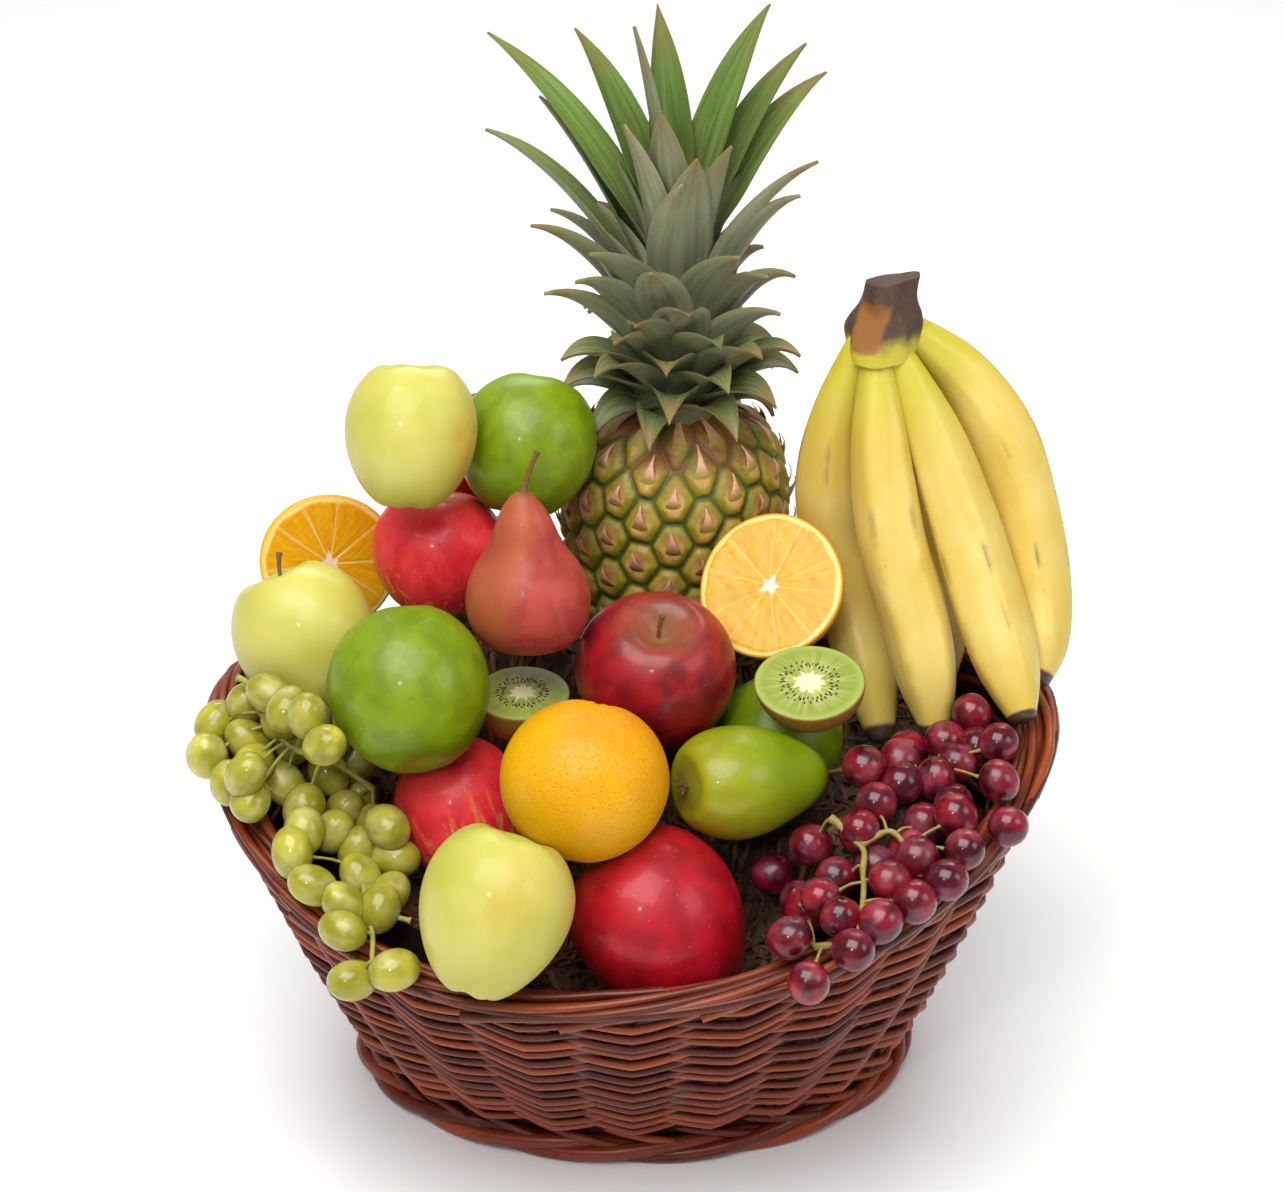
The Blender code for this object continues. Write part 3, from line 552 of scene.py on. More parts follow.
@dataclass(frozen=True)
class SkinFinish:
    """A waxed apple or pear skin: ground colour, flush with streaks, pale pores, woody stem."""

    name: str
    ground: Colour
    shade: Colour
    flush: Colour
    flush_deep: Colour
    streaks: float = 0.3
    pore: Colour = tint(220, 210, 150)
    pore_scale: float = 9.0
    pore_size: float = 0.10
    pore_share: float = 0.6
    cavity: Colour = tint(120, 130, 40)
    cavity_share: float = 0.6
    roughness: float = 0.40
    coat: float = 0.16
    glow: float = 0.03

    def build(self) -> bpy.types.Material:
        """The material; it reads local, flush, stem and cavity."""
        r = Recipe(self.name)
        local = r.mark("local", "Vector")
        clouds = r.noise(local, 1.1, 2.0)
        lines = r.noise(r.stretch(local, (8.0, 8.0, 0.9)), 1.0, 4.0, 0.7)
        ground = r.mix(r.step(clouds, 0.3, 0.75), self.ground, self.shade)
        deep = r.mix(r.step(r.noise(local, 2.6, 2.0), 0.35, 0.65), self.flush, self.flush_deep)
        ragged = r.times(r.math("SUBTRACT", lines, 0.5), self.streaks * 3.0)
        colour = r.mix(r.step(r.plus(r.mark("flush"), ragged), 0.30, 0.70), ground, deep)
        colour = r.mix(r.times(r.mark("cavity"), self.cavity_share), colour, self.cavity)
        dots = r.step(r.cells(r.stretch(local, (1.0, 1.0, 1.1)), self.pore_scale), self.pore_size * 0.5,
                      self.pore_size, self.pore_share, 0.0)
        colour = r.mix(dots, colour, self.pore)
        bark = r.mix(r.noise(r.place(), 900.0), tint(70, 46, 20), tint(140, 104, 56))
        stem = r.mark("stem")
        r.shade(Base_Color=r.mix(stem, colour, bark),
                Roughness=r.math("MAXIMUM", r.times(stem, 0.75),
                                 r.step(clouds, 0.3, 0.8, self.roughness, self.roughness + 0.08)),
                Specular_IOR_Level=0.35, Coat_Weight=self.coat, Coat_Roughness=0.12,
                Subsurface_Weight=self.glow, Subsurface_Radius=(1.0, 0.6, 0.25), Subsurface_Scale=0.004,
                Normal=r.bump(r.noise(local, 14.0, 2.0), 0.12, 0.3))
        return r.material


@dataclass(frozen=True)
class PeelFinish:
    """Orange peel: many small dimples, a warmer side and a small woody button."""

    name: str = "orange_peel"
    light: Colour = tint(226, 168, 0)
    deep: Colour = tint(216, 122, 0)

    def colour(self, r: Recipe) -> tuple[bpy.types.NodeSocket, bpy.types.NodeSocket]:
        """Colour and relief of the peel."""
        place = r.place()
        dimples = r.step(r.cells(place, 620.0, 0.9), 0.05, 0.42)
        colour = r.mix(r.step(r.noise(place, 13.0, 2.0), 0.35, 0.8), self.light, self.deep)
        colour = r.mix(r.step(dimples, 0.0, 1.0, 0.25, 0.0), colour, self.deep)
        return colour, r.bump(dimples, 0.55, 0.5, r.bump(r.noise(place, 160.0), 0.3, 0.8))

    def build(self) -> bpy.types.Material:
        """The material; it reads stem."""
        r = Recipe(self.name)
        colour, relief = self.colour(r)
        button = r.mix(r.noise(r.place(), 700.0), tint(70, 70, 20), tint(150, 130, 60))
        r.shade(Base_Color=r.mix(r.mark("stem"), colour, button), Roughness=0.45, Specular_IOR_Level=0.3,
                Coat_Weight=0.05, Coat_Roughness=0.25, Normal=relief)
        return r.material


@dataclass(frozen=True)
class CitrusFleshFinish:
    """The cut face of an orange, and its peel behind: pulp sacs, membranes, pith and core."""

    name: str = "orange_flesh"
    pulp: Colour = tint(226, 170, 14)
    pulp_deep: Colour = tint(220, 152, 4)
    pith: Colour = tint(238, 210, 126)
    core: Colour = tint(248, 222, 200)

    def build(self) -> bpy.types.Material:
        """The material; it reads polar, tone, pulp, core and peel."""
        r = Recipe(self.name)
        polar = r.mark("polar", "Vector")
        sacs = r.noise(r.stretch(polar, (9.0, 9.0, 2.2)), 1.0, 3.0, 0.6)
        fine = r.noise(r.stretch(polar, (26.0, 26.0, 7.0)), 1.0, 2.0)
        pulp = r.mix(r.step(sacs, 0.36, 0.62), self.pulp_deep, self.pulp)
        pulp = r.mix(r.times(r.mark("tone"), 0.3), pulp, self.pulp_deep)
        pulp = r.mix(r.step(fine, 0.55, 0.80, 0.0, 0.25), pulp, self.pith)
        face = r.mix(r.mark("pulp"), self.pith, pulp)
        face = r.mix(r.mark("core"), face, self.core)
        skin, relief = PeelFinish().colour(r)
        peel = r.mark("peel")
        wet = r.bump(sacs, 0.5, 0.5, r.bump(fine, 0.3, 0.25))
        node = r.tree.nodes.new("ShaderNodeMix")
        node.data_type = "VECTOR"
        r.put(node.inputs[0], peel)
        r.put(node.inputs[4], wet)
        r.put(node.inputs[5], relief)
        r.shade(Base_Color=r.mix(peel, face, skin), Roughness=r.step(peel, 0.0, 1.0, 0.28, 0.4),
                Specular_IOR_Level=0.3, Coat_Weight=0.08, Coat_Roughness=0.15, Subsurface_Weight=0.1,
                Subsurface_Radius=(1.0, 0.6, 0.15), Subsurface_Scale=0.003, Normal=node.outputs[1])
        return r.material


@dataclass(frozen=True)
class KiwiFinish:
    """The cut face of a kiwi, its dark seeds and its brown downy skin."""

    name: str = "kiwi"
    flesh: Colour = tint(138, 152, 54)
    flesh_light: Colour = tint(178, 184, 104)
    flesh_edge: Colour = tint(156, 176, 82)
    core: Colour = tint(236, 232, 184)
    skin: Colour = tint(156, 112, 30)
    skin_dark: Colour = tint(112, 76, 18)
    seed: Colour = tint(20, 14, 12)

    def build(self) -> bpy.types.Material:
        """The material; it reads polar, reach, core, peel and seed."""
        r = Recipe(self.name)
        rays = r.noise(r.stretch(r.mark("polar", "Vector"), (7.0, 7.0, 0.6)), 1.0, 3.0, 0.7)
        reach = r.mark("reach")
        share = r.times(r.step(rays, 0.42, 0.60), r.step(reach, 0.35, 0.9, 1.0, 0.15))
        flesh = r.mix(share, self.flesh, self.flesh_light)
        flesh = r.mix(r.step(reach, 0.80, 0.97), flesh, self.flesh_edge)
        flesh = r.mix(r.mark("core"), flesh, self.core)
        down = r.noise(r.place(), 420.0, 3.0)
        peel = r.mark("peel")
        colour = r.mix(peel, flesh, r.mix(down, self.skin_dark, self.skin))
        r.shade(Base_Color=r.mix(r.mark("seed"), colour, self.seed),
                Roughness=r.step(peel, 0.0, 1.0, 0.42, 0.85), Coat_Weight=0.06, Coat_Roughness=0.12,
                Subsurface_Weight=0.15, Subsurface_Radius=(0.6, 1.0, 0.2), Subsurface_Scale=0.002,
                Normal=r.bump(down, 0.3, 0.3))
        return r.material


@dataclass(frozen=True)
class PineappleFinish:
    """Pineapple rind and crown: tan eyes with green edges, dry spikes, grey green leaves."""

    name: str = "pineapple"
    rind: tuple[Colour, Colour] = (tint(126, 130, 16), tint(166, 146, 34))
    eye_middle: Colour = tint(200, 156, 84)
    eye_upper: Colour = tint(150, 112, 60)
    groove: Colour = tint(60, 76, 22)
    specks: Colour = tint(110, 74, 36)
    dry_top: Colour = tint(132, 74, 40)
    spike: tuple[Colour, Colour, Colour] = (tint(150, 140, 50), tint(222, 172, 138), tint(160, 100, 62))
    leaf_under: tuple[Colour, Colour] = (tint(126, 130, 100), tint(160, 160, 126))
    leaf_upper: tuple[Colour, Colour] = (tint(96, 106, 64), tint(144, 150, 98))
    leaf_fresh: tuple[Colour, Colour] = (tint(88, 120, 40), tint(138, 164, 80))
    leaf_dull: Colour = tint(66, 84, 40)
    leaf_dry: Colour = tint(134, 108, 60)

    def build(self) -> bpy.types.Material:
        """The material; it reads eye, rise, top, spike, leaf, upper, fresh, dry, along, tone and grain."""
        r = Recipe(self.name)
        place = r.place()
        blotch = r.noise(place, 60.0, 4.0)
        fine = r.noise(place, 420.0, 3.0)
        eye = r.mark("eye")
        rind = r.mix(r.step(blotch, 0.35, 0.65), *self.rind)
        rind = r.mix(r.step(eye, 0.45, 0.9), rind, self.eye_middle)
        rind = r.mix(r.times(r.mark("rise"), r.step(eye, 0.1, 0.5, 0.2, 0.7)), rind, self.eye_upper)
        rind = r.mix(r.step(eye, 0.0, 0.12, 0.9, 0.0), rind, self.groove)
        rind = r.mix(r.step(fine, 0.5, 0.8, 0.0, 0.5), rind, self.specks)
        rind = r.mix(r.times(r.mark("top"), r.step(blotch, 0.3, 0.6)), rind, self.dry_top)
        green, tan, brown = self.spike
        spike = r.mix(r.step(r.mark("along"), 0.05, 0.55), green, tan)
        spike = r.mix(r.step(fine, 0.45, 0.8, 0.0, 0.6), spike, brown)
        colour = r.mix(r.mark("spike"), rind, spike)
        veins = r.noise(r.stretch(r.mark("grain", "Vector"), (0.012, 1.1, 1.0)), 1.0, 4.0, 0.7)
        ribs = r.step(veins, 0.3, 0.7)
        upper = r.mix(r.mark("fresh"), r.mix(ribs, *self.leaf_upper), r.mix(ribs, *self.leaf_fresh))
        leaf = r.mix(r.mark("upper"), r.mix(ribs, *self.leaf_under), upper)
        leaf = r.mix(r.times(r.mark("tone"), 0.5), leaf, self.leaf_dull)
        dry = r.times(r.mark("dry"), r.step(r.noise(place, 90.0, 4.0), 0.3, 0.6))
        colour = r.mix(r.mark("leaf"), colour, r.mix(dry, leaf, self.leaf_dry))
        r.shade(Base_Color=colour, Roughness=r.step(fine, 0.2, 0.8, 0.42, 0.7),
                Normal=r.bump(fine, 0.35, 0.5, r.bump(veins, 0.3, 0.4)))
        return r.material


@dataclass(frozen=True)
class BananaFinish:
    """Ripe banana peel: yellow, greenish at the neck, brown at the tip, stalk and along some ridges."""

    name: str = "banana"
    peel: tuple[Colour, Colour] = (tint(222, 198, 108), tint(214, 184, 78))
    lines: Colour = tint(206, 160, 40)
    neck: Colour = tint(196, 186, 40)
    worn: Colour = tint(104, 74, 30)
    flecks: Colour = tint(110, 74, 30)
    bark: tuple[Colour, Colour] = (tint(40, 26, 20), tint(96, 68, 54))
    cut: tuple[Colour, Colour] = (tint(104, 58, 20), tint(170, 112, 44))

    def build(self) -> bpy.types.Material:
        """The material; it reads along, ridge, stalk, cut and grain."""
        r = Recipe(self.name)
        place = r.place()
        grain = r.mark("grain", "Vector")
        along = r.mark("along")
        clouds = r.noise(place, 26.0, 3.0)
        colour = r.mix(r.step(clouds, 0.35, 0.7), *self.peel)
        lines = r.noise(r.stretch(grain, (0.02, 10.0, 1.0)), 1.0, 3.0)
        colour = r.mix(r.step(lines, 0.5, 0.8, 0.0, 0.35), colour, self.lines)
        colour = r.mix(r.step(along, 0.05, 0.27, 0.85, 0.0), colour, self.neck)
        rubbed = r.step(r.noise(r.stretch(grain, (0.03, 0.3, 1.0)), 1.0, 4.0), 0.48, 0.62)
        worn = r.times(r.math("POWER", r.mark("ridge"), 9.0), rubbed)
        colour = r.mix(r.times(worn, 0.8), colour, self.worn)
        flecks = r.times(r.step(r.cells(place, 70.0), 0.03, 0.07, 0.7, 0.0),
                         r.step(r.noise(place, 20.0), 0.48, 0.60))
        colour = r.mix(flecks, colour, self.flecks)
        bark = r.mix(r.noise(place, 240.0, 4.0), *self.bark)
        end = r.plus(along, r.times(r.noise(place, 120.0), 0.02))
        colour = r.mix(r.step(end, 0.952, 0.968), colour, bark)
        stalk = r.step(r.plus(r.mark("stalk"), r.times(r.noise(place, 90.0), 0.25)), 0.55, 0.75)
        colour = r.mix(stalk, colour, bark)
        cut = r.mix(r.noise(r.stretch(grain, (0.4, 3.0, 1.0)), 1.0, 4.0, 0.7), *self.cut)
        r.shade(Base_Color=r.mix(r.mark("cut"), colour, cut), Roughness=r.step(stalk, 0.0, 1.0, 0.42, 0.8),
                Coat_Weight=0.12, Coat_Roughness=0.3, Subsurface_Weight=0.06,
                Subsurface_Radius=(1.0, 0.7, 0.2), Subsurface_Scale=0.004,
                Normal=r.bump(lines, 0.15, 0.3, r.bump(clouds, 0.1, 1.0)))
        return r.material


@dataclass(frozen=True)
class GrapeFinish:
    """Grape skin: see-through flesh with a dusty bloom, and green or brown stalks."""

    name: str
    flesh: Colour
    deep: Colour
    bloom: Colour
    bloom_share: float
    stalk: Colour
    glow: float

    def build(self) -> bpy.types.Material:
        """The material; it reads local, tone and stem."""
        r = Recipe(self.name)
        local = r.mark("local", "Vector")
        colour = r.mix(r.step(r.noise(local, 0.8, 1.0), 0.35, 0.65), self.flesh, self.deep)
        colour = r.mix(r.times(r.mark("tone"), 0.75), colour, self.deep)
        dust = r.step(r.noise(local, 1.0, 2.0, 0.5), 0.40, 0.75, 0.0, self.bloom_share)
        colour = r.mix(dust, colour, self.bloom)
        stem = r.mark("stem")
        wood = r.mix(r.noise(r.place(), 260.0, 3.0), self.stalk, tint(120, 92, 40))
        r.shade(Base_Color=r.mix(stem, colour, wood),
                Roughness=r.plus(r.times(dust, 0.45), r.step(stem, 0.0, 1.0, 0.16, 0.5)),
                Subsurface_Weight=r.step(stem, 0.0, 1.0, self.glow, 0.1), Subsurface_Radius=(1.0, 0.8, 0.35),
                Subsurface_Scale=0.006, Normal=r.bump(r.noise(local, 5.0), 0.08, 0.5))
        return r.material


class Skin(Enum):
    """The skins of the apples and pears."""

    GREEN = SkinFinish("skin_green", tint(102, 134, 1), tint(86, 116, 0), tint(120, 146, 6),
                       tint(104, 128, 2), pore=tint(170, 190, 90), pore_scale=8.0,
                       cavity=tint(150, 170, 50), cavity_share=0.7)
    PALE = SkinFinish("skin_pale", tint(202, 194, 100), tint(186, 182, 72), tint(214, 166, 60),
                      tint(210, 136, 50), streaks=0.12, pore=tint(196, 190, 90), pore_share=0.25,
                      cavity=tint(150, 172, 40), cavity_share=0.8, glow=0.08)
    RED = SkinFinish("skin_red", tint(196, 110, 60), tint(186, 84, 56), tint(180, 15, 32), tint(150, 7, 24),
                     streaks=0.30, pore=tint(232, 160, 130), pore_scale=11.0, pore_size=0.09, pore_share=0.6,
                     cavity=tint(190, 90, 50), cavity_share=0.5)
    STREAKED = SkinFinish("skin_red_streaked", tint(228, 150, 76), tint(224, 118, 66), tint(234, 56, 62),
                          tint(216, 34, 50), streaks=0.62, pore=tint(240, 200, 150), pore_scale=10.0,
                          cavity=tint(180, 150, 50), cavity_share=0.6)
    DARK_RED = SkinFinish("skin_dark_red", tint(200, 90, 40), tint(180, 60, 40), tint(154, 12, 26),
                          tint(112, 6, 20), streaks=0.25, pore=tint(214, 150, 140), pore_scale=12.0,
                          pore_size=0.07, pore_share=0.45, cavity=tint(150, 110, 70), cavity_share=0.7)
    PEAR_RED = SkinFinish("pear_red", tint(176, 90, 56), tint(158, 68, 42), tint(176, 68, 60),
                          tint(158, 52, 44), streaks=0.12, pore=tint(190, 130, 96), pore_scale=14.0,
                          pore_share=0.5, cavity=tint(110, 70, 40), roughness=0.46, coat=0.08)
    PEAR_GREEN = SkinFinish("pear_green", tint(128, 150, 10), tint(110, 134, 4), tint(154, 156, 24),
                            tint(146, 142, 18), streaks=0.1, pore=tint(110, 130, 20), pore_scale=13.0,
                            pore_size=0.09, pore_share=0.5, cavity=tint(110, 100, 40), roughness=0.34)


# Basket

@dataclass(frozen=True)
class BasketForm:
    """Sizes of the basket, as its solids have them."""

    foot: tuple[float, float] = (135.0, 93.0)
    foot_rod: float = 6.8
    low: tuple[float, float] = (136.0, 94.0)
    top: tuple[float, float] = (199.0, 166.0)
    rim: tuple[float, float] = (195.0, 162.0)
    rim_half: tuple[float, float] = (9.8, 6.2)
    belly: float = 3.0
    low_height: float = 13.1
    rim_low: float = 144.0
    rim_high: float = 196.0
    rim_rise: float = 2.9
    rim_skew: float = 18.5

    def rim_under(self, angle: np.ndarray) -> np.ndarray:
        """Height of the rim's underside: low at the front, high at the ends, skewed at the front."""
        rise = (self.rim_high - self.rim_low) * np.abs(np.cos(angle)) ** self.rim_rise
        return self.rim_low + rise - self.rim_skew * np.minimum(np.sin(angle), 0.0) * np.cos(angle)

    def wall(self, angle: np.ndarray, share: np.ndarray, out: np.ndarray) -> np.ndarray:
        """Places on the wall: an oval that widens from foot to rim and bows out a little.

        Args:
            angle: Angle round the basket.
            share: Share of the way up.
            out: Millimetres outwards from the wall's outer face.

        Returns:
            Places with the three coordinates on the last axis.
        """
        bow = self.belly * np.sin(math.pi * share) + out
        long = self.low[0] + (self.top[0] - self.low[0]) * share + bow
        short = self.low[1] + (self.top[1] - self.low[1]) * share + bow
        height = self.low_height + (self.rim_under(angle) - self.low_height) * share
        return xyz(long * np.cos(angle), short * np.sin(angle), height)

    def ring(self, oval: tuple[float, float], angle: np.ndarray, out: np.ndarray,
             height: np.ndarray) -> np.ndarray:
        """Places round an oval, moved outwards, at a height."""
        return xyz((oval[0] + out) * np.cos(angle), (oval[1] + out) * np.sin(angle), height)


@dataclass
class Basket:
    """The willow basket: woven wall, stakes, woven bottom, rim of laid rods and roped foot."""

    form: BasketForm
    bays: int = 24
    rows: int = 14
    first: float = 0.07
    weaver: float = 1.95
    weaver_flat: float = 0.95
    reach: float = 5.2
    rise: float = 1.3
    sink: float = 2.6
    stake: float = 2.1
    stake_depth: float = -3.4
    backing_faces: tuple[float, float] = (-3.7, -5.5)
    bottom_height: float = 17.0
    steps_in_bay: int = 12

    def weavers(self) -> Shell:
        """Rows of paired rods: one passes outside a stake while the other passes inside, then they cross.

        With p = bays / 2 * angle, rod A lies out by reach * v(p) and up by rise * sin(p), and rod B by half
        a turn more; v is a wave halfway from cosine to triangle. Outside a stake a rod also sinks a little.
        """
        steps = self.bays * self.steps_in_bay
        angle = angles_round(steps)
        draw = np.random.default_rng(4)
        share = self.first + (1.0 - self.first) * (np.arange(self.rows) + 0.75) / (self.rows + 0.35)
        wave = 0.10 / self.rows * np.sin(3 * angle + draw.uniform(0, TURN, (self.rows, 1)))
        paths = []
        for half_turn in (0.0, math.pi):
            phase = self.bays / 2 * angle + half_turn
            corner = 1.0 - 2.0 / math.pi * np.abs((phase + math.pi) % TURN - math.pi)
            swing = 0.25 * np.cos(phase) + 0.75 * corner
            up = -self.rise * np.sin(phase) - self.sink * np.maximum(swing, 0.0)
            along = share[:, None] + wave + draw.normal(0.0, 0.045, (self.rows, 1)) / self.rows + up / 135.0
            out = self.reach * swing - self.reach + 1.0 + draw.normal(0.0, 0.2, (self.rows, 1))
            paths.append(self.form.wall(angle[None, :], along, out))
        count = 2 * self.rows
        thick = self.weaver * (1.0 + 0.08 * np.sin(5 * angle + draw.uniform(0, TURN, (count, 1))))
        thick = thick * ((self.form.rim_under(angle) - 13.1) / 131.0) ** 0.5
        return tubes(np.concatenate(paths), thick, 8, UP, self.weaver_flat, closed=True, seed=5)

    def backing(self) -> Shell:
        """The inner layer of the weave, closed between the rods; its deep mark paints it near black, a
        painted shade seen through the gaps.
        """
        angle = angles_round(self.bays * 6)
        up = np.linspace(0.0, 1.0, 12)
        share = np.concatenate([up, up[::-1]])[:, None]
        out = np.repeat(self.backing_faces, 12)[:, None]
        points = self.form.wall(angle[None, :], share, out)
        ring = Shell(points.reshape(-1, 3), [grid_faces(24, len(angle), True, True)])
        # Painted shade: deep 0.85 darkens the backing nearly to black
        return ring.outward().marked(deep=0.85)

    def stakes(self) -> Shell:
        """Upright rods inside the outer rod of each bay, darkened by their deep mark as painted shade."""
        share = np.linspace(0.0, 1.0, 22)
        stand = angles_round(self.bays)
        draw = np.random.default_rng(7)
        lean = draw.normal(0.0, 0.004, (self.bays, 1)) * np.sin(math.pi * share)
        paths = self.form.wall(stand[:, None] + lean, share[None, :], np.array(self.stake_depth))
        # Painted shade: deep 0.6 darkens the stakes
        return tubes(paths, np.array(self.stake), 7, unit(paths * np.array([1.0, 1.0, 0.0])),
                     seed=8).marked(deep=0.6)

    def bottom(self) -> Shell:
        """The woven bottom: rings of rods over crossing sticks."""
        angle = angles_round(96)
        scale = np.linspace(0.10, 1.0, 20)[:, None]
        weave = 0.9 * np.cos(12 * angle)[None, :] * np.where(np.arange(20) % 2, 1, -1)[:, None]
        height = self.bottom_height + weave
        oval = (self.form.low[0] - 5.0, self.form.low[1] - 5.0)
        paths = xyz(oval[0] * scale * np.cos(angle), oval[1] * scale * np.sin(angle), height)
        rings = tubes(paths, np.array(3.0), 6, UP, closed=True, seed=9)
        spokes = angles_round(12)
        reach = np.linspace(0.02, 1.0, 6)[None, :, None]
        ends = np.stack([oval[0] * np.cos(spokes), oval[1] * np.sin(spokes), np.zeros(12)], axis=-1)[:, None]
        sticks = tubes(ends * reach + UP * self.bottom_height, np.array(2.2), 6, UP, seed=10)
        return join([rings, sticks])

    def foot(self) -> Shell:
        """The foot: strands laid round each other like a rope, each turning five times round the ring."""
        strands, twists = 3, 5
        angle = angles_round(280)
        phase = angles_round(strands)[:, None] + twists * angle[None, :]
        out = 3.6 * np.cos(phase)
        height = self.form.foot_rod - 0.1 + 3.1 * np.sin(phase)
        paths = self.form.ring(self.form.foot, angle[None, :], out, height)
        rods = tubes(paths, np.array(3.9), 12, UP, closed=True, seed=11)
        rods.points[:, 2] = np.maximum(rods.points[:, 2], 0.0)
        return rods

    def foot_stakes(self) -> Shell:
        """Rod ends that leave the wall's bottom at a slant and tuck into the foot."""
        count = self.bays
        share = np.linspace(0.0, 1.0, 9)
        start = TURN * (np.arange(count) + 0.5) / count
        angle = start[:, None] + 0.34 * share[None, :]
        out = np.sin(share * 1.57)
        oval_long = self.form.low[0] - 2.5 + (self.form.foot[0] + 4.2 - self.form.low[0]) * out
        oval_short = self.form.low[1] - 2.5 + (self.form.foot[1] + 4.2 - self.form.low[1]) * out
        height = 21.0 - 11.5 * share ** 0.8
        paths = xyz(oval_long * np.cos(angle), oval_short * np.sin(angle), height)
        return tubes(paths, np.array(2.3), 7, UP, seed=12)

    def rim(self) -> Shell:
        """The rim: each stake bends over and is laid along the rim beside the ones before it.

        A rod crosses the bundle from its outer lower edge over the top to its inner edge while it runs on
        along the rim, and ends there in a slanting cut. Four long rods fill the bundle.
        """
        wide, tall = self.form.rim_half
        count, steps = self.bays, 44
        share = np.linspace(0.0, 1.0, steps)[None, :]
        draw = np.random.default_rng(13)
        start = TURN * (np.arange(count)[:, None] + 0.5 + draw.uniform(-0.15, 0.15, (count, 1))) / count
        run = TURN / count * draw.uniform(3.6, 4.8, (count, 1))
        angle = start + run * share
        knots = [0.0, 0.10, 0.35, 0.60, 0.85, 1.0]
        across = np.interp(share, knots, [0.55, 0.72, 0.66, 0.10, -0.55, -0.66]) * wide
        up = np.interp(share, knots, [-1.35, -0.35, 0.35, 0.60, 0.35, 0.15]) * tall
        across = across + draw.normal(0.0, 0.35, (count, 1))
        up = up + draw.normal(0.0, 0.25, (count, 1))
        paths = self.form.ring(self.form.rim, angle, across, self.form.rim_under(angle) + tall + up)
        laid = tubes(paths, 2.45 - 0.35 * share, 8, UP, seed=14)
        angle = angles_round(200)
        spots = np.array([[-0.62, -0.25], [-0.10, -0.35], [0.34, -0.55], [0.74, -0.15]])
        drift = draw.uniform(0, TURN, (4, 1))
        out = spots[:, :1] * wide + 0.6 * np.sin(3 * angle + drift)
        rise = spots[:, 1:] * tall + 0.5 * np.cos(2 * angle + drift)
        paths = self.form.ring(self.form.rim, angle, out, self.form.rim_under(angle) + tall + rise)
        long_rods = tubes(paths, np.array(2.6), 8, UP, closed=True, seed=15)
        return join([laid, long_rods])

    def build(self, basis: Basis) -> None:
        """Make and dress every part of the basket."""
        wall = WillowFinish("willow_wall", dark=tint(52, 16, 9), middle=tint(100, 34, 20),
                            light=tint(158, 70, 34)).build()
        border = WillowFinish("willow_border", dark=tint(50, 14, 5), middle=tint(88, 28, 11),
                              light=tint(152, 68, 28), roughness=0.33).build()
        basis.add("woven_wall", join([self.weavers(), self.backing(), self.bottom()]), wall, "willow",
                  ("basket_wall",))
        basis.add("stakes", join([self.stakes(), self.foot_stakes()]), wall, "willow")
        basis.add("rim_rods", self.rim(), border, "willow", ("rim_border",))
        foot = WillowFinish("willow_foot", dark=tint(60, 15, 5), middle=tint(108, 34, 12),
                            light=tint(158, 66, 28), roughness=0.3).build()
        basis.add("foot_rope", self.foot(), foot, "willow", ("foot_border",))


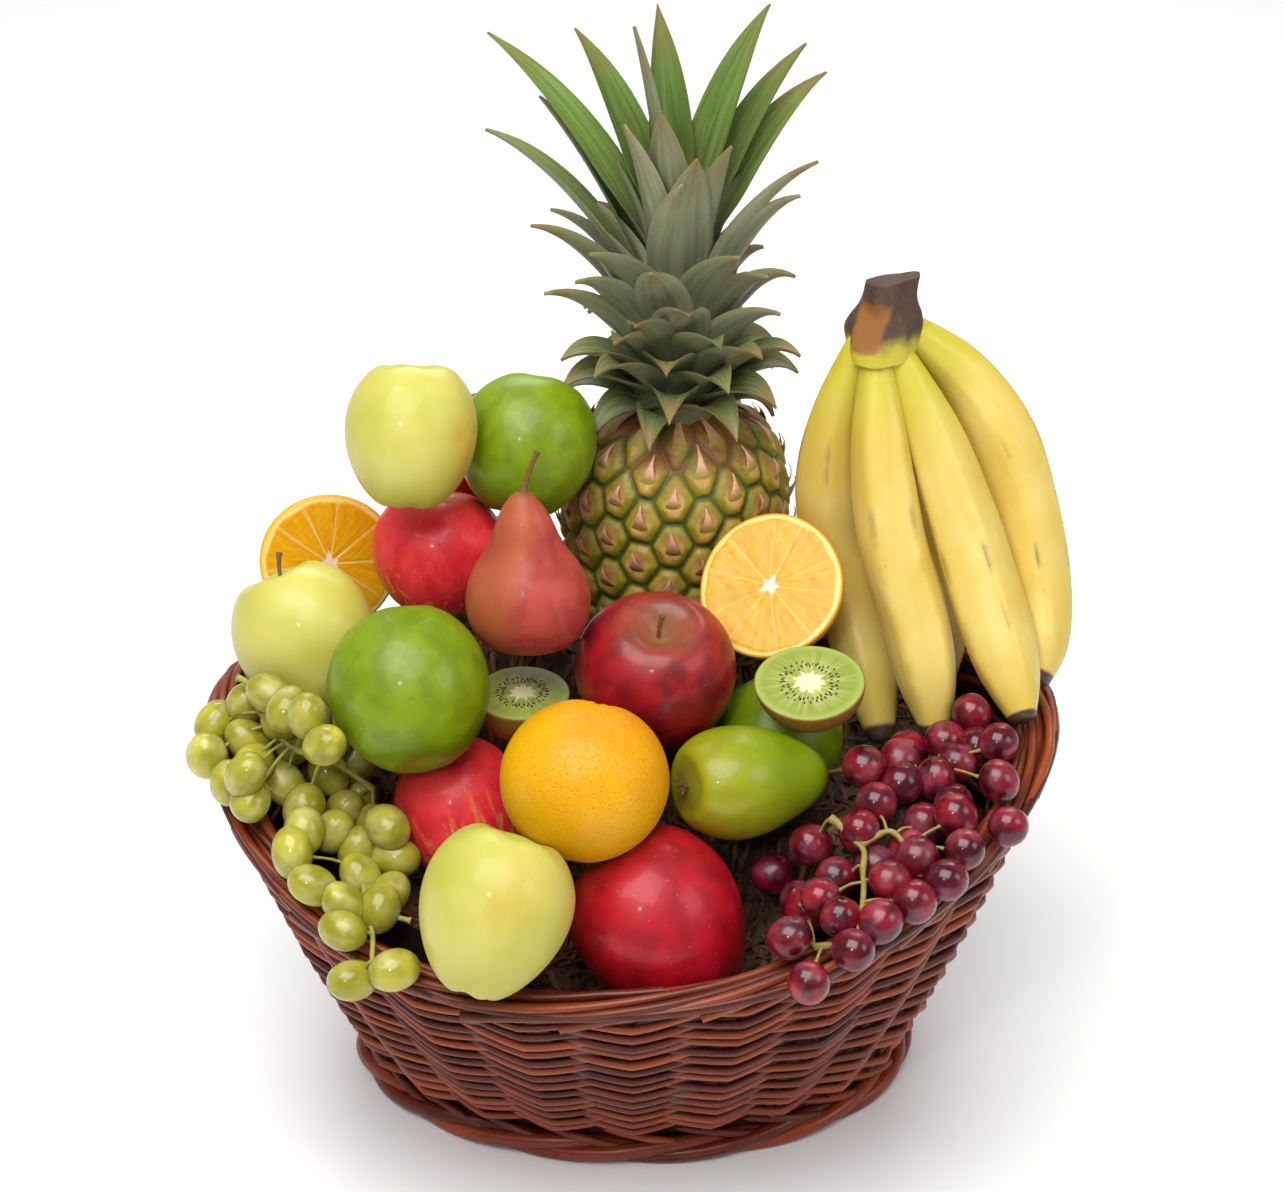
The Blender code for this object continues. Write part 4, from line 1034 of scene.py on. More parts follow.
@dataclass
class Packing:
    """The bed of shredded straw that the fruit lies on, coloured dark as painted shade."""

    form: BasketForm
    strips: int = 1900
    steps: int = 9
    level: float = 0.62

    def heights(self, tree: BVHTree, places: np.ndarray) -> np.ndarray:
        """Height of the bed under each place, by a ray from above."""
        found = [tree.ray_cast(Vector((x, y, 600.0)), Vector((0.0, 0.0, -1.0)))[0] for x, y in places]
        return np.array([hit.z if hit else 40.0 for hit in found])

    def bed(self, basis: Basis) -> Shell:
        """The bed's own body: the solid's outline with a lumpy top.

        The radius runs out to the wall of the solid, the top is the solid's height plus small lumps, and
        the side goes down to the bottom.
        """
        points, _ = basis.solid("packing_bed")
        tree = basis.tree(["packing_bed"])
        rings, steps = 26, 120
        angle = angles_round(steps)
        reach = np.linspace(0.0, 0.985, rings)[:, None]
        low = float(points[:, 2].min())
        rim = self.form.wall(angle, np.array(self.level), np.array(-11.0))
        long, short = np.abs(rim[:, 0]).max(), np.abs(rim[:, 1]).max()
        x, y = reach * long * np.cos(angle), reach * short * np.sin(angle)
        height = self.heights(tree, np.stack([x.ravel(), y.ravel()], axis=1)).reshape(x.shape)
        top = np.stack([x, y, height - 1.0], axis=-1)
        top[..., 2] += 0.9 * wobble(top, 21, 0.06)
        under = top[-1:] * np.array([1.0, 1.0, 0.0]) + UP * (low + (top[-1:, :, 2:] - low) * 0.5)
        under[..., :2] *= 0.96
        floor = self.form.ring((long * 0.78, short * 0.72), angle, np.zeros(1), np.full(steps, low))[None]
        middle = np.zeros((1, steps, 3))
        middle[..., 2] = low
        # Painted shade: tone 0.05 keeps the bed at the straw's near-black colour
        return ball(np.concatenate([top, under, floor, middle])).marked(tone=0.05)

    def straw(self, basis: Basis) -> Shell:
        """Curled strips on the bed: each bends in the level and follows the bed's height."""
        tree = basis.tree(["packing_bed"])
        draw = np.random.default_rng(22)
        radius = np.sqrt(draw.uniform(0.0, 1.0, self.strips)) ** 0.8
        angle = draw.uniform(0.0, TURN, self.strips)
        oval = self.form.wall(angle, np.array(self.level), np.array(-16.0))
        start = oval[:, :2] * radius[:, None]
        heading = draw.uniform(0.0, TURN, (self.strips, 1))
        bend = draw.normal(0.0, 0.035, (self.strips, 1))
        length = draw.uniform(18.0, 48.0, (self.strips, 1))
        s = np.linspace(-0.5, 0.5, self.steps)[None, :] * length
        x = start[:, :1] + s * np.cos(heading + bend * s)
        y = start[:, 1:] + s * np.sin(heading + bend * s)
        limit = self.form.wall(np.arctan2(y / 166.0, x / 199.0), np.array(self.level), np.array(-13.0))
        shrink = np.minimum(1.0, np.hypot(limit[..., 0], limit[..., 1]) / np.maximum(np.hypot(x, y), 1.0))
        x, y = x * shrink, y * shrink
        z = self.heights(tree, np.stack([x.ravel(), y.ravel()], axis=1)).reshape(x.shape)
        z = z + draw.uniform(-0.4, 1.6, (self.strips, 1)) + 0.8 * np.sin(s * 0.25 + heading)
        paths = np.stack([x, y, z], axis=-1)
        return tubes(paths, np.array(0.35), 4, UP, 3.4, seed=23)

    def build(self, basis: Basis) -> None:
        """Make and dress the bed and its straw."""
        whole = join([self.bed(basis), self.straw(basis)])
        basis.add("straw_packing", whole, StrawFinish().build(), "packing",
                  ("packing_bed",))


# Round fruit

@dataclass
class Apple:
    """An apple: dimpled at the stem, five lobed below, of its own uneven shape."""

    node: str
    skin: Skin
    slot: str
    wide: float
    tall: float
    axis: tuple[float, float, float]
    spin: float = 0.0
    taper: float = 0.05
    lobes: float = 0.008
    hollow: float = 0.36
    stem: float = 8.0
    stem_lean: float = 0.2
    flush_from: tuple[float, float, float] = (0.0, 0.0, 1.0)
    flush: float = 1.0
    tuft: bool = True
    seed: int = 1
    rings: int = 60
    segments: int = 72

    def surface(self) -> Shell:
        """Skin of the apple.

        With t from the stem to the calyx and a round about: radius = wide * sin(t) * (1 + 0.05 cos t),
        narrowed by taper towards the calyx and swelled in five lobes there; height = tall * cos(t), less a
        bell for the stem's hollow, plus one for the calyx's hollow.
        """
        t = np.linspace(0.0, math.pi, self.rings)[:, None]
        a = angles_round(self.segments)[None, :]
        draw = np.random.default_rng(self.seed)
        phase = draw.uniform(0.0, TURN, 4)
        narrow = 1.0 - self.taper * (0.5 - 0.5 * np.cos(t)) ** 1.5
        low = smooth(0.45, 1.0, t / math.pi)
        radius = self.wide * np.sin(t) * (1.0 + 0.05 * np.cos(t)) * narrow
        radius = radius * (1.0 + self.lobes * low * np.cos(5 * a) + 0.014 * np.sin(2 * a + phase[0])
                           + 0.012 * np.sin(a + phase[1]) + 0.008 * np.cos(3 * a + phase[2]) * np.sin(t))
        dents = 0.16 * np.exp(-((math.pi - t) / 0.30) ** 2) - self.hollow * np.exp(-(t / 0.30) ** 2)
        height = self.tall * (np.cos(t) + dents)
        height = height - self.lobes * 1.3 * self.tall * smooth(0.62, 0.9, t / math.pi) * np.cos(5 * a) * (
            1.0 - smooth(0.93, 1.0, t / math.pi))
        height = height + 0.010 * self.tall * np.cos(5 * a + phase[3]) * np.exp(-((t - 0.55) / 0.30) ** 2)
        height = height + 0.02 * self.tall * np.sin(a + phase[2]) * np.exp(-((t - 0.7) / 0.5) ** 2)
        grid = xyz(radius * np.cos(a), radius * np.sin(a), height)
        cavity = np.exp(-(t / 0.42) ** 2) + np.exp(-((math.pi - t) / 0.20) ** 2) + 0.0 * a
        skin = ball(grid, local=grid / self.wide, cavity=cavity)
        return skin.marked(stem=0.0)

    def stalk(self) -> Shell:
        """The woody stem, leaning and a little thicker at its end."""
        s = np.linspace(0.0, 1.0, 10)
        height = 0.50 * self.tall + (self.stem + 0.10 * self.tall) * s
        path = xyz(self.stem_lean * self.stem * s ** 2, 0.06 * self.stem * np.sin(3 * s), height)
        return woody_stem(path, np.interp(s, [0.0, 0.3, 0.85, 1.0], [1.6, 0.95, 1.1, 1.7]), self.seed)

    def sepals(self) -> Shell:
        """The dry tuft in the calyx."""
        s = np.linspace(0.0, 1.0, 5)
        return dry_scales(1.0 + 3.0 * s, -0.78 * self.tall - 3.2 * np.sin(2.2 * s),
                          np.interp(s, [0.0, 0.3, 1.0], [1.2, 1.3, 0.15]), self.seed)

    def build(self, basis: Basis) -> None:
        """Fit the apple to its solid and dress it."""
        dry = [self.stalk(), self.sepals()] if self.tuft else [self.stalk()]
        parts = basis.fit([self.surface()] + dry, self.node, turn_to(self.axis, self.spin))
        parts[0].marks["flush"] = flushed(parts[0].points, self.flush_from, self.flush, 0.22,
                                          self.seed + 40, 1.4)
        basis.add(self.node.replace("apple", "apple_fruit"), join(parts), FINISHES[self.skin], self.slot,
                  (self.node,))


def flushed(points: np.ndarray, toward: tuple[float, float, float], share: float, uneven: float,
            seed: int, most: float) -> np.ndarray:
    """Blush of a skin: fullest where it faces one way, with a smooth unevenness.

    Args:
        points: Places on the skin.
        toward: The way that the full side faces.
        share: Share of the skin that is blushed.
        uneven: Size of the unevenness.
        seed: Seed of the unevenness.
        most: Upper limit.

    Returns:
        One value for each point.
    """
    facing = unit(points - points.mean(axis=0)) @ unit(np.array(toward))
    return np.clip(0.5 + 0.5 * facing + (share - 0.5) + uneven * wobble(points, seed, 0.012), 0.0, most)


def woody_stem(path: np.ndarray, radii: np.ndarray, seed: int) -> Shell:
    """A fruit's stem along a path, with a radius at each of its points."""
    return tubes(path[None], radii[None], 8, np.array([1.0, 0.0, 0.0]), seed=seed).marked(stem=1.0)


def dry_scales(out: np.ndarray, up: np.ndarray, radii: np.ndarray, seed: int) -> Shell:
    """Five small pointed scales, given by their way out from the axis, their height and their radius."""
    a = angles_round(5)
    spread = np.stack([np.cos(a), np.sin(a), np.zeros(5)], axis=-1)[:, None]
    return tubes(spread * out[None, :, None] + UP * up[None, :, None], radii[None], 5, UP,
                 seed=seed).marked(stem=1.0)


@dataclass
class Pear:
    """A pear: full belly, drawn-in neck, bent stem and a small dry calyx."""

    node: str
    skin: Skin
    wide: float
    tall: float
    axis: tuple[float, float, float]
    stem: float
    stem_lean: float
    waist: float = 0.18
    belly: float = 0.6
    blunt: float = 0.75
    flush_from: tuple[float, float, float] = (1.0, 0.0, 0.0)
    flush: float = 0.5
    seed: int = 1
    rings: int = 64
    segments: int = 64

    def surface(self) -> Shell:
        """Skin: radius = wide * sin(pi * s^belly)^blunt, drawn in at the neck; the calyx is a dent."""
        s = np.linspace(0.0, 1.0, self.rings)[:, None] ** 1.15
        a = angles_round(self.segments)[None, :]
        draw = np.random.default_rng(self.seed)
        phase = draw.uniform(0.0, TURN, 3)
        neck = 1.0 - self.waist * np.exp(-((s - 0.68) / 0.16) ** 2)
        radius = self.wide * np.maximum(np.sin(math.pi * s ** self.belly), 0.0) ** self.blunt * neck
        radius = radius * (1.0 + 0.02 * np.sin(2 * a + phase[0]) + 0.015 * np.sin(a + phase[1])
                           + 0.012 * np.sin(3 * a + 7 * s + phase[2]))
        height = self.tall * (s + 0.07 * np.exp(-(s / 0.05) ** 2) - 0.02 * np.exp(-((1 - s) / 0.03) ** 2))
        bend = 0.03 * self.wide * (height / self.tall - 0.3) ** 2
        grid = xyz(radius * np.cos(a) + bend, radius * np.sin(a), height)
        cavity = np.exp(-(s / 0.035) ** 2) + np.exp(-((1.0 - s) / 0.05) ** 2) + 0.0 * a
        return ball(grid, local=grid / self.wide, cavity=cavity).marked(stem=0.0)

    def stalk(self) -> Shell:
        """The stem: thick at its root, bending over."""
        s = np.linspace(0.0, 1.0, 12)
        height = 0.955 * self.tall + (self.stem + 0.03 * self.tall) * s
        path = xyz(self.stem_lean * self.stem * s ** 1.3, 0.0, height)
        return woody_stem(path, np.interp(s, [0.0, 0.2, 0.8, 1.0], [2.6, 1.5, 1.2, 1.7]), self.seed)

    def calyx(self) -> Shell:
        """The dry scales round the calyx."""
        s = np.linspace(0.0, 1.0, 5)
        return dry_scales(1.2 + 2.8 * s, 0.062 * self.tall - 3.0 * np.sin(1.5 * s),
                          np.interp(s, [0.0, 1.0], [1.1, 0.2]), self.seed)

    def build(self, basis: Basis) -> None:
        """Fit the pear to its solid and dress it."""
        parts = basis.fit([self.surface(), self.stalk(), self.calyx()], self.node, turn_to(self.axis))
        parts[0].marks["flush"] = flushed(parts[0].points, self.flush_from, self.flush, 0.2,
                                          self.seed + 60, 1.2)
        basis.add(self.node.replace("pear", "pear_fruit"), join(parts), FINISHES[self.skin], self.node,
                  (self.node,))


@dataclass
class Orange:
    """A whole orange, with the small button at its stem."""

    node: str
    radius: float
    axis: tuple[float, float, float]
    seed: int = 1

    def build(self, basis: Basis) -> None:
        """Fit the orange to its solid and dress it; the radius sags at the poles and is a little uneven."""
        t, a, outward = sphere(80, 96)
        uneven = 0.012 * wobble(outward, self.seed, 0.35) + 0.004 * wobble(outward, 9, 1.6)
        radius = self.radius * (1.0 + uneven)
        crease = 0.012 * np.exp(-((t - 0.16) / 0.12) ** 2) * np.cos(9 * a)
        grid = outward * (radius + self.radius * crease)[..., None]
        grid[..., 2] = 0.97 * grid[..., 2] - self.radius * (0.07 * np.exp(-(t / 0.22) ** 2)
                                                            - 0.03 * np.exp(-((math.pi - t) / 0.15) ** 2))
        peel = ball(grid, stem=smooth(0.085, 0.06, t) + 0.0 * a)
        parts = basis.fit([peel], self.node, turn_to(self.axis))
        basis.add(self.node.replace("orange", "orange_fruit"), parts[0], FINISHES[Fruit.PEEL], "orange_peel",
                  (self.node,))


@dataclass
class HalfFruit:
    """A fruit cut in half: a cut face with its own pattern, a rounded edge and the back behind it."""

    node: str
    half_wide: float
    half_tall: float
    depth: float
    normal: tuple[float, float, float]
    seed: int = 1
    face_rows: int = 46
    columns: int = 180

    def form(self) -> tuple[np.ndarray, np.ndarray, np.ndarray]:
        """Grid of the half fruit.

        Returns:
            Places; the share of the way out over the face, past 1 on the back; and the angle round about.
        """
        a = angles_round(self.columns)[None, :]
        out = np.linspace(0.0, 1.0, self.face_rows)
        back = np.linspace(0.0, 0.5 * math.pi, 26)[1:]
        radius = np.concatenate([out, np.cos(back)])
        height = np.concatenate([np.zeros(self.face_rows), -self.depth * np.sin(back)])
        reach = np.concatenate([out, 1.0 + back])
        uneven = 1.0 + 0.012 * np.sin(2 * a + self.seed) + 0.008 * np.sin(3 * a + 2 * self.seed)
        x = radius[:, None] * self.half_wide * np.cos(a) * uneven
        y = radius[:, None] * self.half_tall * np.sin(a) * uneven
        grid = xyz(x, y, height[:, None])
        return grid, reach[:, None] + 0.0 * a, a + 0.0 * reach[:, None]

    def finish(self, basis: Basis, shells: list[Shell], kind: "Fruit", slot: str) -> None:
        """Fit the first shell to the solid, carry the others along and dress them."""
        parts = basis.fit(shells, self.node, turn_to(self.normal))
        basis.add(self.node.replace("half", "cut"), join(parts), FINISHES[kind], slot, (self.node,))


@dataclass
class OrangeHalf(HalfFruit):
    """Half an orange: segments of pulp between thin membranes, pale pith and peel."""

    segments: int = 10
    pith_wide: float = 3.0
    lines: float = 0.35

    def build(self, basis: Basis) -> None:
        """Make the cut face with its relief; a membrane is where the way to a segment's edge is short."""
        grid, reach, a = self.form()
        draw = np.random.default_rng(self.seed)
        edges = TURN * (np.arange(self.segments) + draw.uniform(-0.18, 0.18, self.segments)) / self.segments
        way = np.minimum.reduce([np.where(np.cos(a - edge) > 0, np.abs(np.sin(a - edge)), 1.0)
                                 for edge in edges])
        radius = reach * self.half_wide
        face = reach <= 1.0
        membrane = 1.0 - smooth(0.25, 0.75, way * radius)
        pith = smooth(self.half_wide - self.pith_wide - 0.5, self.half_wide - self.pith_wide + 0.3,
                      radius + 0.35 * np.sin(self.segments * a))
        ragged = 1.0 + 0.25 * np.sin(5 * a + self.seed) + 0.15 * np.sin(3 * a)
        core = 1.0 - smooth(3.0, 4.2, radius * ragged)
        pulp = np.clip(1.0 - np.maximum.reduce([self.lines * membrane, pith, core]), 0.0, 1.0)
        peel = np.where(face, smooth(0.955, 0.985, reach), 1.0)
        grid[..., 2] += np.where(face, 0.45 * pulp + 0.15 * wobble(grid, self.seed, 0.35) * pulp, 0.0)
        grid[..., 2] -= np.where(face, 0.8 * smooth(0.965, 1.0, reach) ** 2, 0.0)
        tones = draw.uniform(0.0, 1.0, self.segments)
        segment = np.searchsorted(np.sort(edges % TURN), a % TURN) % self.segments
        polar = np.stack([np.cos(a), np.sin(a), reach], axis=-1)
        shell = ball(grid, polar=polar, pulp=pulp, core=core * face, peel=peel, tone=tones[segment])
        self.finish(basis, [shell], Fruit.CITRUS, "orange_flesh")


@dataclass
class KiwiHalf(HalfFruit):
    """Half a kiwi: pale core, rays, a ring of dark seeds and a thin brown skin."""

    seeds: int = 64
    core_share: float = 0.26

    def build(self, basis: Basis) -> None:
        """Make the cut face; the seeds are small ellipsoids that point at the core."""
        grid, reach, a = self.form()
        face = reach <= 1.0
        ragged = self.core_share * (1.0 + 0.14 * np.sin(9 * a + self.seed) + 0.10 * np.sin(17 * a))
        core = (1.0 - smooth(0.75, 1.15, reach / ragged)) * face
        peel = np.where(face, smooth(0.965, 0.99, reach), 1.0)
        grid[..., 2] += np.where(face, 0.3 * core - 0.6 * smooth(0.97, 1.0, reach) ** 2, 0.0)
        polar = np.stack([np.cos(a), np.sin(a), reach], axis=-1)
        shell = ball(grid, polar=polar, core=core, peel=peel, reach=reach)
        self.finish(basis, [shell, self.seed_ring()], Fruit.KIWI, "kiwi")

    def seed_ring(self) -> Shell:
        """The seeds: ellipsoids of about 1.8 by 0.8 by 0.7 mm, two deep round the core."""
        draw = np.random.default_rng(self.seed + 5)
        t = np.linspace(0.0, math.pi, 6)[:, None]
        b = angles_round(7)[None, :]
        one = xyz(np.cos(t), np.sin(t) * np.cos(b), np.sin(t) * np.sin(b))
        seeds = []
        for k in range(self.seeds):
            angle = TURN * (k + draw.uniform(-0.3, 0.3)) / self.seeds
            share = self.core_share * 1.45 + (0.10 if k % 2 else 0.0) + draw.uniform(0.0, 0.10)
            size = np.array([0.95, 0.42, 0.35]) * draw.uniform(0.75, 1.1)
            place = np.array([share * self.half_wide * math.cos(angle),
                              share * self.half_tall * math.sin(angle), 0.12])
            seeds.append(ball(one * size).placed(turn_to((0, 0, 1), math.degrees(angle)), place))
        return join(seeds).marked(seed=1.0)


# Pineapple

@dataclass
class Pineapple:
    """The pineapple: a barrel of eyes in offset columns, each with its dry spike, and the leafy crown."""

    foot: tuple[float, float, float] = (21.0, 100.0, 185.0)
    tall: float = 134.0
    wide: float = 55.5
    eye_columns: int = 22
    eye_pitch: float = 23.0
    relief: float = 2.6
    twist: float = 0.75
    rows: int = 170
    columns: int = 260

    def profile(self, share: np.ndarray) -> np.ndarray:
        """Radius of the barrel: wide * sqrt(1 - |2s - 0.98|^3.2), s being the share of the height."""
        return self.wide * np.sqrt(np.maximum(1.0 - np.abs(2.0 * share - 0.98) ** 3.2, 0.0))

    def eye_places(self) -> np.ndarray:
        """Angle and share of the height of each eye: upright columns, every second one half a pitch up."""
        i, j = np.meshgrid(np.arange(self.eye_columns), np.arange(-1, 7), indexing="ij")
        share = ((j + 0.5 * (i % 2)) * self.eye_pitch / self.tall).ravel() + 0.08
        draw = np.random.default_rng(32)
        angle = TURN * i.ravel() / self.eye_columns + 0.16 * share + draw.normal(0.0, 0.012, share.shape)
        share = share + draw.normal(0.0, 0.006, share.shape)
        keep = (share > -0.06) & (share < 1.04)
        return np.stack([angle[keep] % TURN, share[keep]], axis=1)

    def body(self) -> Shell:
        """The rind: each point is lifted by how far it is from the edge between its two nearest eyes."""
        share = (0.5 - 0.5 * np.cos(np.linspace(0.0, math.pi, self.rows)))[:, None]
        a = angles_round(self.columns)[None, :]
        eyes = self.eye_places()
        flat_share, flat_angle = np.broadcast_arrays(share, a)
        near = np.full(flat_share.shape, 1e9)
        second = np.full(flat_share.shape, 1e9)
        rise = np.zeros(flat_share.shape)
        for angle, height in eyes:
            across = (flat_angle - angle + math.pi) % TURN - math.pi
            ring = self.profile(np.clip(height, 0.06, 0.94))
            x, y = across * ring * 1.15, (flat_share - height) * self.tall
            way = np.hypot(x, y)
            closer = way < near
            second = np.where(closer, near, np.minimum(second, way))
            rise = np.where(closer, y, rise)
            near = np.where(closer, way, near)
        edge = (second - near) / 2.0
        eye = smooth(0.3, 7.5, edge)
        cup = np.exp(-(near / 3.0) ** 2)
        lift = self.relief * (smooth(0.0, 3.2, edge) - 0.7) + 1.2 * eye - 1.0 * cup
        radius = np.maximum(self.profile(share) + lift * np.minimum(1.0, self.profile(share) / 20.0), 0.0)
        uneven = wobble(xyz(np.cos(a) * 50, np.sin(a) * 50, share * 134), 31, 0.12)
        radius = radius + 0.35 * uneven * (share > 0.01) * (share < 0.99)
        grid = xyz(radius * np.cos(a), radius * np.sin(a), share * self.tall)
        return ball(grid + np.array(self.foot), eye=eye, rise=smooth(-1.0, 7.0, rise),
                    top=smooth(0.80, 0.93, share) + 0.0 * a)

    def spikes(self) -> Shell:
        """The bract of each eye: a wide green base that closes over the eye and ends in a dry point.

        Along the bract, s from 0 to 1: half width = 4.4 * (1 - s)^1.4 + 0.25 mm. It climbs 10 to 13.5 mm
        up the eye and stands off the rind by 2 + 2.3 * sin(0.8 * pi * s) + 1.6 * s^2 mm.
        """
        eyes = self.eye_places()
        eyes = eyes[(eyes[:, 1] > 0.05) & (eyes[:, 1] < 0.95)]
        s = np.linspace(0.0, 1.0, 8)[None, :]
        draw = np.random.default_rng(33)
        length = draw.uniform(10.0, 13.5, (len(eyes), 1))
        angle, share = eyes[:, :1], eyes[:, 1:]
        lean = draw.normal(0.0, 0.9, (len(eyes), 1))
        height = share + (-3.0 + length * s) / self.tall
        off = 2.0 + 2.3 * np.sin(math.pi * 0.8 * s) + 1.6 * s ** 2
        radius = self.profile(np.clip(height, 0.02, 0.985)) + off
        turned = angle + lean * s ** 2 / radius
        paths = xyz(radius * np.cos(turned), radius * np.sin(turned), height * self.tall)
        half = 4.4 * (1.0 - s) ** 1.4 + 0.25 + 0.0 * angle
        side = xyz(-np.sin(turned), np.cos(turned), 0.0)
        outward = xyz(np.cos(turned), np.sin(turned), 0.0)
        spikes = self.blades(paths + np.array(self.foot), side, outward, half, 0.55, -0.22, 34)
        return spikes.marked(spike=1.0)

    def blades(self, paths: np.ndarray, side: np.ndarray, upper: np.ndarray, half: np.ndarray, thick: float,
               channel: float, seed: int) -> Shell:
        """Thin blades along paths, seven points across each face.

        Args:
            paths: Places, as blades, steps along, and three coordinates.
            side: Direction across each blade.
            upper: Direction that its upper face looks in.
            half: Half width at each step.
            thick: Thickness at the middle line.
            channel: Rise of the edges over the middle line, as a share of the half width.
            seed: Seed of the blades' tones.

        Returns:
            The closed shells, with along, upper, grain and tone.
        """
        count, steps = half.shape
        across = np.linspace(-1.0, 1.0, 7)
        top = paths[:, :, None] + side[:, :, None] * (half[..., None] * across)[..., None]
        top = top + upper[:, :, None] * (half[..., None] * channel * across ** 2)[..., None]
        skin = thick * (1.0 - 0.75 * across ** 2)[None, None, :, None]
        under = (top - upper[:, :, None] * skin)[:, :, ::-1]
        rings = np.concatenate([top, under], axis=2)
        sides = rings.shape[2]
        tone = np.random.default_rng(seed).uniform(0.0, 1.0, count)
        s = np.linspace(0.0, 1.0, steps)
        along = np.broadcast_to(s[None, :, None], (count, steps, sides))
        is_upper = np.broadcast_to(np.r_[np.ones(7), np.zeros(7)], (count, steps, sides))
        length = np.linalg.norm(np.diff(paths, axis=1), axis=2).sum(axis=1)
        grain = np.stack([along * length[:, None, None],
                          np.broadcast_to(np.r_[across, across[::-1]] * 4.0, along.shape),
                          np.broadcast_to(tone[:, None, None] * 100.0, along.shape)], axis=-1)
        one = grid_faces(steps, sides, False, True)
        ends = [np.array([[k, k + 1, sides - 2 - k, sides - 1 - k] for k in range(6)]) + row * sides
                for row in (0, steps - 1)]
        faces = np.concatenate([one[:, ::-1], ends[0], ends[1][:, ::-1]])
        faces = (faces[None] + (np.arange(count) * steps * sides)[:, None, None]).reshape(-1, 4)
        flat = (-1,)
        return Shell(rings.reshape(-1, 3), [faces],
                     {"along": along.reshape(flat), "upper": is_upper.reshape(flat),
                      "grain": grain.reshape(-1, 3), "tone": np.repeat(tone, steps * sides)}).outward()

    def leaves(self) -> Shell:
        """The crown: the leaves that the photograph shows, and the rest by a rule.

        A leaf leaves the stalk at a height, and its middle line is a smooth bend from there to its tip; its
        half width is wide * (1 - s^2.9)^1.15 with a narrow foot. Leaves at the sides turn their inner face
        a little to the front.
        """
        draw = np.random.default_rng(35)
        k = np.arange(34)
        share = k / len(k)
        rule = np.stack([(GOLDEN_ANGLE * k) % TURN * 0.5 * 360.0 / TURN, 4.0 + 66.0 * share,
                         50.0 - 8.0 * share + draw.uniform(-5, 5, len(k)),
                         14.0 + 130.0 * share ** 1.1 + draw.uniform(-6, 6, len(k)),
                         12.0 + draw.uniform(-1.0, 1.5, len(k)), -14.0 * (1.0 - share)], axis=1)
        leaf = np.concatenate([np.array(CROWN_LEAVES, dtype=float), rule])
        azimuth = np.radians(leaf[:, :1])
        start_up, tip_out, tip_up, wide, droop = (leaf[:, k:k + 1] for k in range(1, 6))
        s = np.linspace(0.0, 1.0, 19)[None, :]
        start_out = 19.0 * (1.0 - start_up / 125.0)
        knee_out = start_out + (tip_out - start_out) * 0.42
        knee_up = start_up + (tip_up - start_up) * 0.60 + 0.10 * tip_out
        out = (1 - s) ** 2 * start_out + 2 * s * (1 - s) * knee_out + s ** 2 * tip_out
        up = (1 - s) ** 2 * start_up + 2 * s * (1 - s) * knee_up + s ** 2 * tip_up + droop * s ** 5
        sway = draw.normal(0.0, 3.0, azimuth.shape) * s ** 2
        outward = np.stack([np.cos(azimuth), np.sin(azimuth), 0.0 * azimuth], axis=-1)
        side = np.stack([-np.sin(azimuth), np.cos(azimuth), 0.0 * azimuth], axis=-1)
        crown = np.array(self.foot) + np.array([0.0, 0.0, self.tall - 6.0])
        paths = outward * out[..., None] + side * sway[..., None] + UP * up[..., None] + crown
        ahead = unit(np.gradient(paths, axis=1))
        upper = unit(np.cross(ahead, np.broadcast_to(side, ahead.shape)))
        upper = upper * np.sign((upper * (UP - 0.4 * outward)).sum(axis=-1, keepdims=True))
        turned = np.interp(tip_up, (40.0, 70.0, 130.0, 165.0), (0.3, -0.8, -0.8, 0.7))[..., None]
        lean = -side[..., 1:2] * turned
        twist = self.twist * lean * smooth(0.0, 0.4, s)[..., None] * np.ones_like(ahead[..., :1])
        turned = side * np.cos(twist) - upper * np.sin(twist)
        upper = upper * np.cos(twist) + side * np.sin(twist)
        half = wide * (0.85 + 0.3 * smooth(0.0, 0.35, s)) * np.maximum(1.0 - s ** 2.9, 0.0) ** 1.15 + 0.2
        shell = self.blades(paths, turned, upper, half, 1.6, 0.42, 36)
        shell.marks["dry"] = smooth(0.62, 0.92, shell.marks["along"]) * np.repeat(
            draw.uniform(0.3, 1.0, len(leaf)), 19 * 14)
        fresh = smooth(120.0, 195.0, tip_up) * smooth(0.0, 0.5, s)
        shell.marks["fresh"] = np.repeat(fresh.ravel(), 14)
        return shell.marked(leaf=1.0)

    def stalk(self) -> Shell:
        """The core of the crown that the leaves grow from."""
        path = np.stack([np.zeros(12), np.zeros(12), np.linspace(-14.0, 104.0, 12)], axis=-1)
        path = path + np.array(self.foot) + np.array([0.0, 0.0, self.tall])
        radii = np.linspace(23.0, 4.0, 12)
        stalk = tubes(path[None], radii[None], 24, np.array([1.0, 0.0, 0.0]), seed=37)
        return stalk.marked(leaf=1.0, upper=0.6)

    def build(self, basis: Basis) -> None:
        """Make and dress the whole pineapple."""
        whole = join([self.body(), self.spikes(), self.leaves(), self.stalk()])
        basis.add("pineapple_fruit", whole, PineappleFinish().build(), "pineapple", ("pineapple",),
                  crease=70.0)


